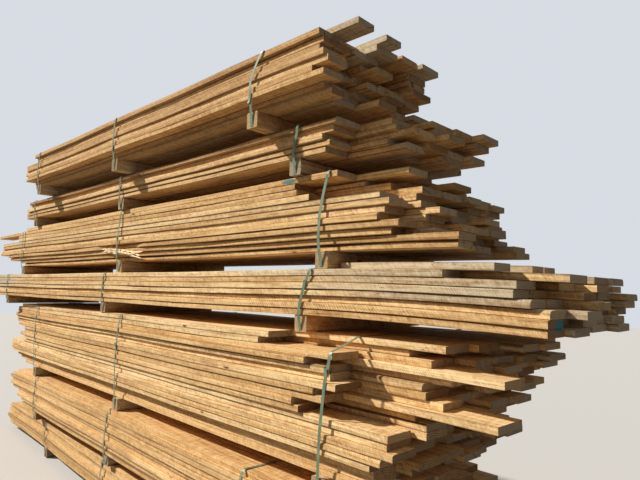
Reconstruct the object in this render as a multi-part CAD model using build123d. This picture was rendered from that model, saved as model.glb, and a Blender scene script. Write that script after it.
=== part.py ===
"""A column of strapped bundles of rough-sawn boards.

Each bundle is layers of boards on three square bearers, held by three plastic straps that run
round the boards and the bearer under them. The bundles rest on one another, so the bearers also
keep the gaps that a fork lifts by. Millimetres; X runs along the boards, Y from the near long
face to the far one, Z up from the floor.
"""

import os
import random
from dataclasses import dataclass, field
from math import hypot

from build123d import *

# Boards
BOARD_THICKNESS = 32.0
LAYER_GAP = 0.5
SIDE_GAP = 4.0
NARROWEST_BOARD = 145.0
WIDEST_BOARD = 200.0
EDGE_STAGGER = 22.0
WANE_SHARE = 0.18
WANE_WIDTH = 22.0
WANE_DEPTH = 15.0

# Offcuts
OFFCUT_WIDTH = 120.0

# Bearers
BEARER_WIDTH = 85.0
BEARER_HEIGHT = 85.0
BEARER_CHAMFER = 6.0
BEARER_SEAT = 0.2
BEARER_SETBACK = 25.0

# Straps
STRAP_WIDTH = 16.0
STRAP_THICKNESS = 0.8
STRAP_CLEARANCE = 0.2
STRAP_RECESS = STRAP_THICKNESS + 2 * STRAP_CLEARANCE
SLIGHT_BEND = 0.03
SHARP_TURN = 15.0


@dataclass(frozen=True)
class Board:
    """One board: its near edge, width, underside and two ends."""

    near: float
    width: float
    base: float
    left: float
    right: float
    wane: int


@dataclass(frozen=True)
class Offcut:
    """A short board left loose on a bundle's top layer: its two ends, near edge and turn."""

    left: float
    right: float
    near: float
    turn: float


@dataclass(frozen=True)
class Bundle:
    """One strapped bundle.

    The left and right values are the near boards' overhangs past the outer bearers, top layer
    first, and second_right gives those of the boards behind them, by layer. The inner values are
    those of the other boards in the top and in the bottom layer, give or take the ragged value.
    """

    name: str
    width: float
    setback: float
    yaw: float
    bearers: tuple[float, float, float]
    left: tuple[float, ...]
    right: tuple[float, ...]
    inner_left: tuple[float, float]
    inner_right: tuple[float, float]
    ragged: float
    seed: int
    second_right: dict[int, float] = field(default_factory=dict)
    offcuts: tuple[Offcut, ...] = ()

    @property
    def layers(self) -> int:
        """Number of layers of boards."""
        return len(self.right)

    @property
    def height(self) -> float:
        """Height from the underside of the bearers to the top of the boards."""
        return BEARER_HEIGHT + BEARER_SEAT + self.layers * (BOARD_THICKNESS + LAYER_GAP) - LAYER_GAP


# The bundles, lowest first. X is measured from the column's middle bearer line.
BUNDLES = (
    Bundle(
        name="bundle_1", width=1060, setback=45, yaw=4, seed=11,
        bearers=(-1670, -200, 1500),
        left=(1150, 1380, 1450, 1480, 1440, 1500, 1460, 1420),
        right=(760, 810, 790, 840, 800, 770, 820, 790),
        inner_left=(1350, 1400), inner_right=(800, 800), ragged=110,
    ),
    Bundle(
        name="bundle_2", width=1060, setback=-10, yaw=3, seed=23,
        bearers=(-1800, -10, 1690),
        left=(680, 800, 900, 845, 890, 830, 620, 590, 470, 380),
        right=(760, 790, 740, 800, 770, 820, 780, 760, 790, 800),
        inner_left=(640, 580), inner_right=(800, 780), ragged=110,
    ),
    Bundle(
        name="bundle_3", width=1050, setback=0, yaw=2.5, seed=37,
        bearers=(-1890, 70, 2250),
        left=(540, 670, 700, 715, 730, 750, 570, 345, 380, 490, 360, 440, 870, 860, 830, 795, 700,
              635, 440),
        right=(-380, -460, 90, -90, 25, 50, 120, -25, 25, -170, -130, 390, 380, 420, 360, 300, 300,
               290, 270),
        inner_left=(620, 550), inner_right=(610, 270), ragged=130,
        second_right={2: 360, 4: 810, 9: 790},
    ),
    Bundle(
        name="bundle_4", width=1050, setback=0, yaw=0, seed=41,
        bearers=(-2610, -230, 2014),
        left=(480, 450, 470, 460, 440, 460, 450),
        right=(810, 1110, 1100, 1160, 1220, 1220, 1215),
        inner_left=(450, 450), inner_right=(1190, 1230), ragged=80,
        second_right={2: 1010, 3: 1105, 4: 1165, 5: 1290, 6: 1180, 7: 1250},
        offcuts=(
            Offcut(2215, 3040, 95, 5),
            Offcut(2230, 3055, 330, 0),
            Offcut(2225, 3050, 480, 1),
        ),
    ),
    Bundle(
        name="bundle_5", width=1000, setback=0, yaw=0, seed=53,
        bearers=(-2170, 10, 2150),
        left=(-60, 820, 180, 160, 690, 680, 750, 730, 480, 460, 150, 60),
        right=(100, -190, -180, -90, 360, 410, 380, 350, 460, 410, 730, 720),
        inner_left=(220, 220), inner_right=(360, 540), ragged=110,
        second_right={1: 410, 2: 150, 7: 560},
    ),
    Bundle(
        name="bundle_6", width=900, setback=-40, yaw=0, seed=67,
        bearers=(-1770, 70, 1990),
        left=(140, 180, 210, 250, 260),
        right=(290, 260, 200, 240, 210),
        inner_left=(210, 210), inner_right=(600, 520), ragged=110,
        second_right={1: 480, 3: 600},
    ),
    Bundle(
        name="bundle_7", width=820, setback=-185, yaw=0, seed=79,
        bearers=(-1290, 240, 1810),
        left=(110, 90, 350, 330, 390, 300, 320, 260, 280),
        right=(490, 500, 480, 510, 530, 440, 520, 460, 500),
        inner_left=(300, 300), inner_right=(500, 440), ragged=130,
        offcuts=(Offcut(1850, 2460, 95, 0), Offcut(1870, 2450, 330, 1)),
    ),
)


def mix(ends: tuple[float, float], share: float) -> float:
    """The value that lies this share of the way from the first to the second."""
    return ends[0] + (ends[1] - ends[0]) * share


def mixed_widths(draw: random.Random, room: float) -> list[float]:
    """Widths of boards that fill the room side by side, as many as their mean width allows."""
    mean = (NARROWEST_BOARD + WIDEST_BOARD) / 2
    count = round((room + SIDE_GAP) / (mean + SIDE_GAP))
    widths = [draw.uniform(NARROWEST_BOARD, WIDEST_BOARD) for _ in range(count)]
    timber = room - (count - 1) * SIDE_GAP
    return [width * timber / sum(widths) for width in widths]


def lay_boards(bundle: Bundle) -> list[Board]:
    """Fills each layer with boards of mixed widths, from the near face back."""
    draw = random.Random(bundle.seed)
    boards = []
    for row in range(bundle.layers):
        base = BEARER_HEIGHT + BEARER_SEAT
        base += (bundle.layers - 1 - row) * (BOARD_THICKNESS + LAYER_GAP)
        near = draw.uniform(0, EDGE_STAGGER)
        far = bundle.width - draw.uniform(0, EDGE_STAGGER)
        depth = row / (bundle.layers - 1)
        for place, width in enumerate(mixed_widths(draw, far - near)):
            left = mix(bundle.inner_left, depth) + draw.uniform(-bundle.ragged, bundle.ragged)
            right = mix(bundle.inner_right, depth) + draw.uniform(-bundle.ragged, bundle.ragged)
            if place == 0:
                left, right = bundle.left[row], bundle.right[row]
            elif place == 1:
                right = bundle.second_right.get(row + 1, right)
            wane = draw.choice((-1, 1)) if draw.random() < WANE_SHARE else 0
            boards.append(
                Board(near, width, base, bundle.bearers[0] - left, bundle.bearers[2] + right, wane)
            )
            near += width + SIDE_GAP
    return boards


def board_solid(board: Board) -> Part:
    """A sawn board; where the log ran out, one long edge keeps the wane as a slant."""
    far = board.near + board.width
    top = board.base + BOARD_THICKNESS
    outline = [(board.near, board.base), (far, board.base), (far, top), (board.near, top)]
    if board.wane > 0:
        outline[2:3] = [(far, top - WANE_DEPTH), (far - WANE_WIDTH, top)]
    elif board.wane < 0:
        outline[3:] = [(board.near + WANE_WIDTH, top), (board.near, top - WANE_DEPTH)]
    profile = Plane.YZ.offset(board.left) * make_face(Polyline(*outline, close=True))
    return extrude(profile, board.right - board.left, dir=(1, 0, 0))


def offcut_solid(offcut: Offcut, base: float) -> Part:
    """A short loose board that lies with its underside at the height given."""
    board = Board(0, OFFCUT_WIDTH, 0, 0, offcut.right - offcut.left, 0)
    return Pos(offcut.left, offcut.near, base) * Rot(0, 0, -offcut.turn) * board_solid(board)


def bearer_solid(x: float, width: float) -> Part:
    """A square bearer across a bundle of that width, its long edges eased, its ends set back."""
    square = Pos(x, BEARER_HEIGHT / 2) * Rectangle(BEARER_WIDTH, BEARER_HEIGHT)
    profile = Plane.XZ.offset(-BEARER_SETBACK) * chamfer(square.vertices(), BEARER_CHAMFER)
    return extrude(profile, width - 2 * BEARER_SETBACK, dir=(0, 1, 0))


def bulge(start: tuple[float, float], corner: tuple[float, float], end: tuple[float, float]) -> float:
    """How far a corner stands out to the right of the line from start to end."""
    across = (corner[0] - start[0]) * (end[1] - start[1])
    across -= (corner[1] - start[1]) * (end[0] - start[0])
    return across / hypot(end[0] - start[0], end[1] - start[1])


def hull(points: list[tuple[float, float]]) -> list[Vector]:
    """The corners that a tight band round all the points would bend at, anticlockwise."""

    def half(ordered: list[tuple[float, float]]) -> list[tuple[float, float]]:
        chain = []
        for point in ordered:
            while len(chain) > 1 and bulge(chain[-2], chain[-1], point) <= 0:
                chain.pop()
            chain.append(point)
        return chain[:-1]

    ordered = sorted(set(points))
    corners = half(ordered) + half(ordered[::-1])
    kept = corners[:1]
    passed = []
    for corner, ahead in zip(corners[1:], corners[2:] + corners[:1]):
        passed.append(corner)
        if max(bulge(kept[-1], point, ahead) for point in passed) > SLIGHT_BEND:
            kept.append(corner)
            passed = []
    return [Vector(*point) for point in kept]


def strap_path(boards: list[Board], x: float, width: float) -> list[Vector]:
    """Corners in YZ that the strap bends round: the boards it crosses and the bearer."""
    reach = STRAP_WIDTH / 2
    ends = (BEARER_SETBACK, width - BEARER_SETBACK)
    points = [(end, level) for end in ends for level in (STRAP_RECESS, BEARER_HEIGHT)]
    for board in boards:
        if board.left < x - reach and board.right > x + reach:
            far = board.near + board.width
            top = board.base + BOARD_THICKNESS
            points += [(board.near, board.base), (far, board.base), (board.near, top), (far, top)]
    return hull(points)


def loop_face(path: list[Vector], away: float) -> Sketch:
    """The area inside a loop that keeps an even distance outside the path."""
    edges = []
    stops = []
    for back, corner, ahead in zip(path[-1:] + path[:-1], path, path[1:] + path[:1]):
        come = (corner - back).normalized()
        go = (ahead - corner).normalized()
        before = Vector(come.Y, -come.X)
        after = Vector(go.Y, -go.X)
        middle = (before + after).normalized()
        if come.get_angle(go) > SHARP_TURN:
            stops.append((corner + before * away, corner + after * away))
            edges.append(ThreePointArc(stops[-1][0], corner + middle * away, stops[-1][1]))
        else:
            mitre = corner + middle * (away / middle.dot(before))
            stops.append((mitre, mitre))
    for (_, start), (end, _) in zip(stops, stops[1:] + stops[:1]):
        edges.append(Line(start, end))
    return make_face(edges)


def strap_solid(path: list[Vector], x: float) -> Part:
    """A flat band of even thickness round the path, round where it turns an edge."""
    inner = loop_face(path, STRAP_CLEARANCE)
    outer = loop_face(path, STRAP_CLEARANCE + STRAP_THICKNESS)
    band = Plane.YZ.offset(x - STRAP_WIDTH / 2) * (outer - inner)
    return extrude(band, STRAP_WIDTH, dir=(1, 0, 0))


def groove(x: float, width: float) -> Part:
    """The shallow notch that lets a strap pass under its bearer."""
    size = STRAP_WIDTH + 2 * STRAP_CLEARANCE
    return Pos(x, width / 2, 0) * Box(size, width + 2, 2 * STRAP_RECESS)


def build_bundle(bundle: Bundle, floor: float) -> dict[str, list[Part]]:
    """The boards, bearers and straps of one bundle, standing at the height given."""
    boards = lay_boards(bundle)
    width = bundle.width
    loose = [offcut_solid(offcut, bundle.height + LAYER_GAP) for offcut in bundle.offcuts]
    bearers = [bearer_solid(x, width) - groove(x, width) for x in bundle.bearers]
    straps = [strap_solid(strap_path(boards, x, width), x) for x in bundle.bearers]
    pieces = {
        "boards": [board_solid(board) for board in boards] + loose,
        "bearers": bearers,
        "straps": straps,
    }
    place = Pos(0, bundle.setback, floor) * Rot(0, 0, -bundle.yaw)
    return {kind: [place * solid for solid in solids] for kind, solids in pieces.items()}


def main() -> None:
    """Builds the column from the floor up and writes one file for each named node."""
    os.makedirs("parts", exist_ok=True)
    nodes: dict[str, list[Solid]] = {}
    floor = 0.0
    for bundle in BUNDLES:
        for kind, pieces in build_bundle(bundle, floor).items():
            nodes[f"{bundle.name}_{kind}"] = [piece.solid() for piece in pieces]
        floor += bundle.height + STRAP_CLEARANCE + STRAP_THICKNESS + BEARER_SEAT
    box = Compound([solid for solids in nodes.values() for solid in solids]).bounding_box()
    centre = Pos(-box.center().X, -box.center().Y, -box.min.Z)
    for name, solids in nodes.items():
        export_step(Compound([centre * solid for solid in solids]), f"parts/{name}.step")


main()
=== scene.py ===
"""The looks of a column of strapped bundles of rough-sawn boards.

Every board, bearer and strap is built round its CAD solid: the solid gives the place, the size
and the wane, and this script adds what sawing, drying and weather did to the timber.
"""

import logging
import math
import random
from dataclasses import dataclass, field
from enum import Enum

import bpy
import numpy as np
from mathutils import Matrix, Vector


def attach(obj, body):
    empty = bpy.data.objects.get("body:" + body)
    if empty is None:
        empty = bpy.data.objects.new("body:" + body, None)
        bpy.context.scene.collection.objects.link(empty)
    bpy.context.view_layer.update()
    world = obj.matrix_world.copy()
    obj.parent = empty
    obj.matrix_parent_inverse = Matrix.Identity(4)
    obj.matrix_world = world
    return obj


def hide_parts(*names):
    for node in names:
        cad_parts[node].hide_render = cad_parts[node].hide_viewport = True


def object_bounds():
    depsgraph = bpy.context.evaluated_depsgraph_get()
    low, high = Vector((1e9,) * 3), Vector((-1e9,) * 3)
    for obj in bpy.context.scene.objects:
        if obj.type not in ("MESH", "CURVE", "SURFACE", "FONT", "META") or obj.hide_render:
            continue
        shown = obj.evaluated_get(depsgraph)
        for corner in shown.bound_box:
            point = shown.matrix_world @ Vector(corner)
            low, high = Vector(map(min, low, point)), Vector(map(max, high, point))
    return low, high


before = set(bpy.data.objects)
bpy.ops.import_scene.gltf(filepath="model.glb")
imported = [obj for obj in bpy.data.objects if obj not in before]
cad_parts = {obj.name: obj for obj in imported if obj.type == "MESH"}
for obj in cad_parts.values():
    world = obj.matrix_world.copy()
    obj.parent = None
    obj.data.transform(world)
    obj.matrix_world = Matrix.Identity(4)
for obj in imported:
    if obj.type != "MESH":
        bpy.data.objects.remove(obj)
CAD_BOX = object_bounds()
LOG = logging.getLogger("lumber")

Color = tuple[float, float, float]
Triple = tuple[float, float, float]
Pair = tuple[float, float]
Face = tuple[int, ...]
Socket = bpy.types.NodeSocket
Value = float | bpy.types.NodeSocket

UP = (0.0, 0.0, 1.0)
# Each bundle's boards and bearers draw from streams of their own.
BOARD_STREAM = 997
BEARER_STREAM = 31


class Kind(Enum):
    """The kinds of piece in a bundle, by the ending of their node's name."""

    BOARDS = "boards"
    BEARERS = "bearers"
    STRAPS = "straps"


@dataclass
class CadSolid:
    """One solid of a CAD node, seen along its own long axis.

    Attributes:
        origin: Middle of the solid's footprint, in metres.
        along: Unit vector of the long axis, level.
        across: Unit vector square to it, level, to the far side for a board.
        low: Lowest values along, across and up from the origin.
        high: Highest values along, across and up from the origin.
        profile: Corners of the section, across and up.
    """

    origin: np.ndarray
    along: np.ndarray
    across: np.ndarray
    low: np.ndarray
    high: np.ndarray
    profile: np.ndarray

    @property
    def length(self) -> float:
        """Length along the long axis."""
        return float(self.high[0] - self.low[0])

    @property
    def at_along(self) -> float:
        """Place of its middle along its axis, from the frame's origin."""
        return float(self.origin @ self.along)

    @property
    def at_across(self) -> float:
        """Place of its middle across its axis, from the frame's origin."""
        return float(self.origin @ self.across)

    @property
    def near_face(self) -> float:
        """Place of its near long face, across from the frame's origin."""
        return self.at_across + float(self.low[1])

    @property
    def far_face(self) -> float:
        """Place of its far long face, across from the frame's origin."""
        return self.at_across + float(self.high[1])

    def place(self, local: np.ndarray) -> np.ndarray:
        """Turns points along, across and up into points in the frame."""
        level = local[:, :1] * self.along + local[:, 1:2] * self.across
        return self.origin + level + np.outer(local[:, 2], UP)


def loose_parts(obj: bpy.types.Object) -> list[np.ndarray]:
    """Finds the separate solids in a CAD node's mesh.

    Args:
        obj: The node's object.

    Returns:
        The corner points of each solid, as one array each.
    """
    mesh = obj.data
    points = np.empty(len(mesh.vertices) * 3)
    mesh.vertices.foreach_get("co", points)
    points = points.reshape(-1, 3)
    _, same = np.unique(np.round(points, 5), axis=0, return_inverse=True)
    same = same.ravel()
    owner = list(range(same.max() + 1))

    def root(item: int) -> int:
        """Follows a point to the first one of its solid, as far as that is known.

        Args:
            item: The point's number.

        Returns:
            The number of that first point.
        """
        while owner[item] != item:
            owner[item] = owner[owner[item]]
            item = owner[item]
        return item

    for polygon in mesh.polygons:
        first, *rest = (root(same[index]) for index in polygon.vertices)
        for other in rest:
            owner[root(other)] = root(first)
    groups: dict[int, list[int]] = {}
    for index, item in enumerate(same):
        groups.setdefault(root(item), []).append(index)
    return [np.unique(np.round(points[found], 6), axis=0) for found in groups.values()]


def read_solid(points: np.ndarray) -> CadSolid:
    """Measures one long solid.

    Args:
        points: Its corner points, in the frame.

    Returns:
        The solid, seen along its long axis.
    """
    middle = (points.min(0) + points.max(0)) / 2
    level = points[:, :2] - middle[:2]
    _, axes = np.linalg.eigh(level.T @ level)
    guess = axes[:, -1]
    side = level @ guess
    axis = level[side > 0].mean(0) - level[side < 0].mean(0)
    main_axis = 1 if abs(guess[0]) < abs(guess[1]) else 0
    axis = axis if axis[main_axis] > 0 else -axis
    axis /= np.linalg.norm(axis)
    along = np.array((axis[0], axis[1], 0.0))
    across = np.array((-axis[1], axis[0], 0.0))
    origin = np.array((middle[0], middle[1], 0.0))
    local = np.column_stack(((points - origin) @ along, (points - origin) @ across, points[:, 2]))
    end = local[local[:, 0] < 0][:, 1:]
    profile = np.unique(np.round(end, 4), axis=0)
    return CadSolid(origin, along, across, local.min(0), local.max(0), profile)


def wobble(draw: random.Random, x: np.ndarray, pitch: float) -> np.ndarray:
    """A smooth random wave along x, between about -1 and 1.

    Args:
        draw: The piece's own random stream.
        x: Places along the piece, in metres.
        pitch: Rough distance between waves, in metres.

    Returns:
        The wave's height at each place.
    """
    total = np.zeros_like(x)
    for share, scale in ((0.6, 1.0), (0.3, 0.43), (0.18, 0.17)):
        total += share * np.sin(x * math.tau / (pitch * scale) + draw.uniform(0, math.tau))
    return total


def swing(draw: random.Random, x: np.ndarray, pitch: float) -> np.ndarray:
    """The same wave, kept between 0 and 2."""
    return 1 + np.clip(wobble(draw, x, pitch), -1, 1)


def tube_faces(ring: int, sections: int) -> list[Face]:
    """Faces round the side of a swept body.

    Args:
        ring: Number of points round each section.
        sections: Number of sections.

    Returns:
        The four-sided faces, section by section.
    """
    faces = []
    for start in range(0, (sections - 1) * ring, ring):
        for corner in range(ring):
            after = (corner + 1) % ring
            faces.append((start + corner, start + ring + corner, start + ring + after, start + after))
    return faces


def end_rings(ring: int, sections: int) -> tuple[Face, Face]:
    """The points round the first and the last section, each in the order that closes the body."""
    last = (sections - 1) * ring
    return tuple(range(ring)), tuple(range(last + ring - 1, last - 1, -1))


def with_end_middles(values: np.ndarray, ring: int) -> np.ndarray:
    """Adds the middle of the first section and that of the last one to a swept body's values."""
    return np.vstack((values, values[:ring].mean(0), values[-ring:].mean(0)))


@dataclass
class MeshSheet:
    """Collects the pieces of one joined mesh, with the values that its finishes read."""

    name: str
    points: list[np.ndarray] = field(default_factory=list)
    faces: list[Face] = field(default_factory=list)
    slots: list[int] = field(default_factory=list)
    grain: list[np.ndarray] = field(default_factory=list)
    look: list[np.ndarray] = field(default_factory=list)
    wear: list[np.ndarray] = field(default_factory=list)
    count: int = 0
    sharp_angle: float = math.radians(32)

    def add(
        self,
        points: np.ndarray,
        faces: list[Face],
        slots: list[int],
        grain: np.ndarray,
        look: np.ndarray,
        wear: np.ndarray,
    ) -> None:
        """Adds one closed body and the values of its points.

        Args:
            points: Its corners, in the frame.
            faces: Its faces, clockwise seen from outside.
            slots: The material slot of each face.
            grain: Each point's place in the log: along it, and out from its pith.
            look: The body's tone, its grey and a random number of its own, for each point.
            wear: Each point's distance from an end, its edge's wear (which the finish darkens with grime
                and painted shade in the seams), and the body's ripples.
        """
        self.points.append(points)
        self.faces.extend(tuple(index + self.count for index in face[::-1]) for face in faces)
        self.slots.extend(slots)
        self.grain.append(grain)
        self.look.append(look)
        self.wear.append(wear)
        self.count += len(points)

    def build(self, materials: list[bpy.types.Material]) -> bpy.types.Object:
        """Makes the joined object.

        Args:
            materials: The materials that the slots count through.

        Returns:
            The linked object.
        """
        mesh = bpy.data.meshes.new(self.name)
        mesh.from_pydata(np.concatenate(self.points).tolist(), [], self.faces)
        for material in materials:
            mesh.materials.append(material)
        mesh.polygons.foreach_set("material_index", self.slots)
        for label, values in (("grain", self.grain), ("look", self.look), ("wear", self.wear)):
            attribute = mesh.attributes.new(label, "FLOAT_VECTOR", "POINT")
            attribute.data.foreach_set("vector", np.concatenate(values).astype(np.float32).ravel())
        mesh.polygons.foreach_set("use_smooth", [True] * len(mesh.polygons))
        mesh.set_sharp_from_angle(angle=self.sharp_angle)
        mesh.update()
        obj = bpy.data.objects.new(self.name, mesh)
        bpy.context.scene.collection.objects.link(obj)
        return obj


@dataclass(frozen=True)
class Droop:
    """How far a bundle's boards hang down past what holds them, in metres.

    Attributes:
        left: Drop one reach past the left support.
        right: Drop one reach past the right support.
        sag: Drop midway between two bearers.
        fan: Share by which the lowest layer drops more than the top one.
        reach: The overhang at which the drops are taken.
        curve: Power by which the drop grows with the overhang.
    """

    left: float
    right: float
    sag: float = 0.004
    fan: float = 0.12
    reach: float = 1.1
    curve: float = 1.8

    def at(self, x: np.ndarray, supports: list[float], depth: float) -> np.ndarray:
        """The drop at each place.

        Args:
            x: Places along the bundle, in metres.
            supports: Where the bundle is held, in order: two outer lines and the middle bearer.
            depth: The layer's depth, from 0 at the top to 1 at the bottom.

        Returns:
            The drop, in metres.
        """
        first, middle, last = supports
        past_left = np.clip(first - x, 0, None) / self.reach
        past_right = np.clip(x - last, 0, None) / self.reach
        more = 1 + self.fan * depth
        drop = (self.left * past_left**self.curve + self.right * past_right**self.curve) * more
        for start, end in ((first, middle), (middle, last)):
            share = np.clip((x - start) / (end - start), 0, 1)
            drop = drop + self.sag * np.sin(math.pi * share) ** 2
        return drop


@dataclass(frozen=True)
class Waves:
    """Rough distances between the waves in a board's faces and edges, in metres.

    Attributes:
        top: Those of the upper face.
        bottom: Those of the underside.
        front: Those of the near edge.
        back: Those of the far edge.
        wane: Those of the wane's width.
        corner: Those of the corners' wear.
        gape: Range of those of a near edge that stands open.
        level: Middle of the wane's and of the gape's wave, as a share of the most.
        swell: How far that wave goes to each side.
        least_wane: Least share of its width that a wane keeps.
    """

    top: float = 2.3
    bottom: float = 1.7
    front: float = 1.9
    back: float = 2.1
    wane: float = 1.4
    corner: float = 0.5
    gape: Pair = (1.2, 4.0)
    level: float = 0.62
    swell: float = 0.38
    least_wane: float = 0.12


@dataclass(frozen=True)
class Spot:
    """Where a board lies in its pile.

    Attributes:
        shows: Whether it is on the outside.
        layer: Its layer, counted from 0 at the top, if it is the near board of one, or else -1.
        loose: Whether it is an offcut that lies on the top layer.
        depth: Its layer's depth in the pile, from 0 at the top to 1.
    """

    shows: bool
    layer: int
    loose: bool
    depth: float

    @property
    def nearest(self) -> bool:
        """Whether it is the near board of a layer."""
        return self.layer >= 0


@dataclass
class BoardPile:
    """All the boards of one bundle, as one joined mesh.

    Attributes:
        bundle: The bundle's name, which its nodes begin with.
        droop: How its overhangs hang.
        seed: Start of its random stream.
        weather: Share of its boards that have gone grey, from 0 to 1.
        inset: How far each layer's near board stands back from its solid, top layer first.
        open_above: Layers, counted from 0 at the top, that gape under the one above.
        rippled: Layers whose near board kept the ripples of a coarse saw.
        greyed: Layers whose near board has gone grey at its ends.
        tone: Range of its boards' tones, from 0 for the palest to 1 for the darkest.
        torn: A torn place in the near edge of one of its boards.
        waves: How far apart the waves in its boards lie.
        outer_step: Spacing of the sections along a board that shows, in metres.
        inner_step: The same along the hidden middle of an inner board.
        jitter: Share of the spacing by which a section may lie off its place.
        fewest: Fewest steps along a board.
        end_zone: Length at each end that keeps the close spacing.
        saw_slack: Most that sawing leaves off a board's upper face.
        under_share: Share of that which it leaves off the underside.
        edge_slack: Most that sawing leaves off each edge.
        corner: Width of a worn corner.
        bow: Where a corner's middle point lies, as shares of its width and of its depth.
        spread: Where the points across a wide face lie, as shares of its width.
        gape: Most that a bowed near edge stands open under the board above.
        gape_slope: How many times as far in as down a gaping edge goes.
        skew: Most that an end is sawn out of square, as a slope.
        pith_across: Most that the log's pith lies to a side of the board's middle.
        pith_off: Range of how far it lies above or below it.
        log_length: Length over which the boards' places in the log are spread.
        face_reach: How near the pile's long faces a board shows.
        top_reach: How near its top.
        base_reach: How near its underside.
        greyed_look: Range of grey of the near boards whose ends went grey.
        loose_look: Tone and grey of the offcuts.
        faint_ripple: Most ripple of the other boards.
    """

    bundle: str
    droop: Droop
    seed: int
    weather: float
    inset: tuple[float, ...] = ()
    open_above: tuple[int, ...] = ()
    rippled: tuple[int, ...] = ()
    greyed: tuple[int, ...] = ()
    tone: Pair = (0.0, 1.0)
    torn: "TornEdge | None" = None
    waves: Waves = Waves()
    outer_step: float = 0.11
    inner_step: float = 0.6
    jitter: float = 0.3
    fewest: int = 6
    end_zone: float = 0.9
    saw_slack: float = 0.0009
    under_share: float = 0.6
    edge_slack: float = 0.004
    corner: float = 0.0013
    bow: Pair = (0.36, 0.3)
    spread: tuple[float, ...] = (0.12, 0.5, 0.88)
    gape: float = 0.007
    gape_slope: float = 3.0
    skew: float = 0.02
    pith_across: float = 0.04
    pith_off: Pair = (0.012, 0.13)
    log_length: float = 90.0
    face_reach: float = 0.05
    top_reach: float = 0.07
    base_reach: float = 0.01
    greyed_look: Pair = (0.35, 0.6)
    loose_look: Pair = (0.85, 0.5)
    faint_ripple: float = 0.1

    def build(self, materials: list[bpy.types.Material]) -> bpy.types.Object:
        """Builds the pile over its CAD node.

        Args:
            materials: Finishes of the long faces and of the ends.

        Returns:
            The joined object, riding on the part.
        """
        node = f"{self.bundle}_{Kind.BOARDS.value}"
        solids = [read_solid(part) for part in loose_parts(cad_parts[node])]
        solids.sort(key=lambda solid: (round(-solid.low[2], 3), solid.at_across))
        supports = held_at(self.bundle)
        sheet = MeshSheet(f"{self.bundle}_sawn_boards")
        near = min(solid.near_face for solid in solids)
        far = max(solid.far_face for solid in solids)
        base = min(solid.low[2] for solid in solids)
        top = max(solid.high[2] for solid in solids)
        layers = 0
        for index, solid in enumerate(solids):
            nearest = solid.near_face < near + self.face_reach
            shows = (
                nearest
                or solid.far_face > far - self.face_reach
                or solid.high[2] > top - self.top_reach
                or solid.low[2] < base + self.base_reach
            )
            layer = layers if nearest else -1
            layers += int(nearest)
            spot = Spot(shows, layer, layers == 0, (top - solid.high[2]) / (top - base))
            draw = random.Random(self.seed * BOARD_STREAM + index)
            self.add_board(sheet, solid, spot, supports, draw)
        LOG.info("%s: %d layers, %d insets", self.bundle, layers, len(self.inset))
        obj = sheet.build(materials)
        dress(obj, node)
        return obj

    def stations(self, solid: CadSolid, shows: bool, draw: random.Random) -> np.ndarray:
        """Places along a board where it gets a section, closer where it shows.

        Args:
            solid: The board's CAD solid.
            shows: Whether the board is on the outside of the pile.
            draw: The board's own random stream.

        Returns:
            The places, in metres from the board's middle.
        """
        half = solid.length / 2
        count = max(self.fewest, round(solid.length / self.outer_step))
        places = np.linspace(-half, half, count + 1)
        shift = np.array([draw.uniform(-self.jitter, self.jitter) for _ in places])
        shift[[0, -1]] = 0
        places = places + shift * self.outer_step
        if shows:
            return places
        at_ends = np.abs(places) >= half - self.end_zone
        every = round(self.inner_step / self.outer_step)
        return places[at_ends | (np.arange(len(places)) % every == 0)]

    def section(
        self, solid: CadSolid, x: np.ndarray, spot: Spot, draw: random.Random
    ) -> tuple[np.ndarray, np.ndarray, list[float]]:
        """The board's sections, with saw slack, worn corners, wane, gape and a torn edge.

        Args:
            solid: The board's CAD solid.
            x: Places along the board.
            spot: Where it lies in the pile.
            draw: The board's own random stream.

        Returns:
            How far across and how far up each point lies, with a row for each section, and the
            wear of each point round the section.
        """
        waves = self.waves
        low, high = solid.low[2], solid.high[2]
        saw_slack, edge_slack = self.saw_slack / 2, self.edge_slack / 2
        top = high - saw_slack * swing(draw, x, waves.top)
        bottom = low + saw_slack * self.under_share * swing(draw, x, waves.bottom)
        inset = self.inset[spot.layer] if spot.nearest else 0.0
        front = solid.low[1] + inset + edge_slack * swing(draw, x, waves.front)
        back = solid.high[1] - edge_slack * swing(draw, x, waves.back)
        wane_near, wane_far, wane_down = wane_of(solid)
        shape = waves.level + waves.swell * wobble(draw, x, waves.wane)
        shape = np.clip(shape, waves.least_wane, 1.0)
        radius = self.corner * 0.5 * (1 + swing(draw, x, waves.corner))
        gaping = waves.level + waves.swell * wobble(draw, x, draw.uniform(*waves.gape))
        opening = np.clip(gaping, 0, 1) * self.gape * (spot.layer in self.open_above)
        if spot.nearest and self.torn and low < self.torn.height < high:
            front = front + self.torn.cut(solid.at_along + x)
        near_in = np.maximum(radius + self.gape_slope * opening, wane_near * shape)
        near_down = np.maximum(radius + opening, wane_down * (wane_near > 0) * shape)
        far_in = np.maximum(radius, wane_far * shape)
        far_down = np.maximum(radius, wane_down * (wane_far > 0) * shape)
        bow_in, bow_down = self.bow
        wide, top_wide = back - front, back - far_in - front - near_in
        rows = [
            (front, bottom + radius, 1.0),
            (front + radius, bottom, 1.0),
            *((front + wide * share, bottom, 0.0) for share in self.spread),
            (back - radius, bottom, 1.0),
            (back, bottom + radius, 1.0),
            (back, (bottom + top) / 2, 0.0),
            (back, top - far_down, 1.0),
            (back - far_in * bow_in, top - far_down * bow_down, 1.0),
            (back - far_in, top, 1.0),
            *((front + near_in + top_wide * share, top, 0.0) for share in self.spread[::-1]),
            (front + near_in, top, 1.0),
            (front + near_in * bow_in, top - near_down * bow_down, 1.0),
            (front, top - near_down, 1.0),
            (front, (bottom + top) / 2, 0.0),
        ]
        across, up, edge = zip(*rows)
        return np.stack(across, 1), np.stack(up, 1), list(edge)

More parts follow.
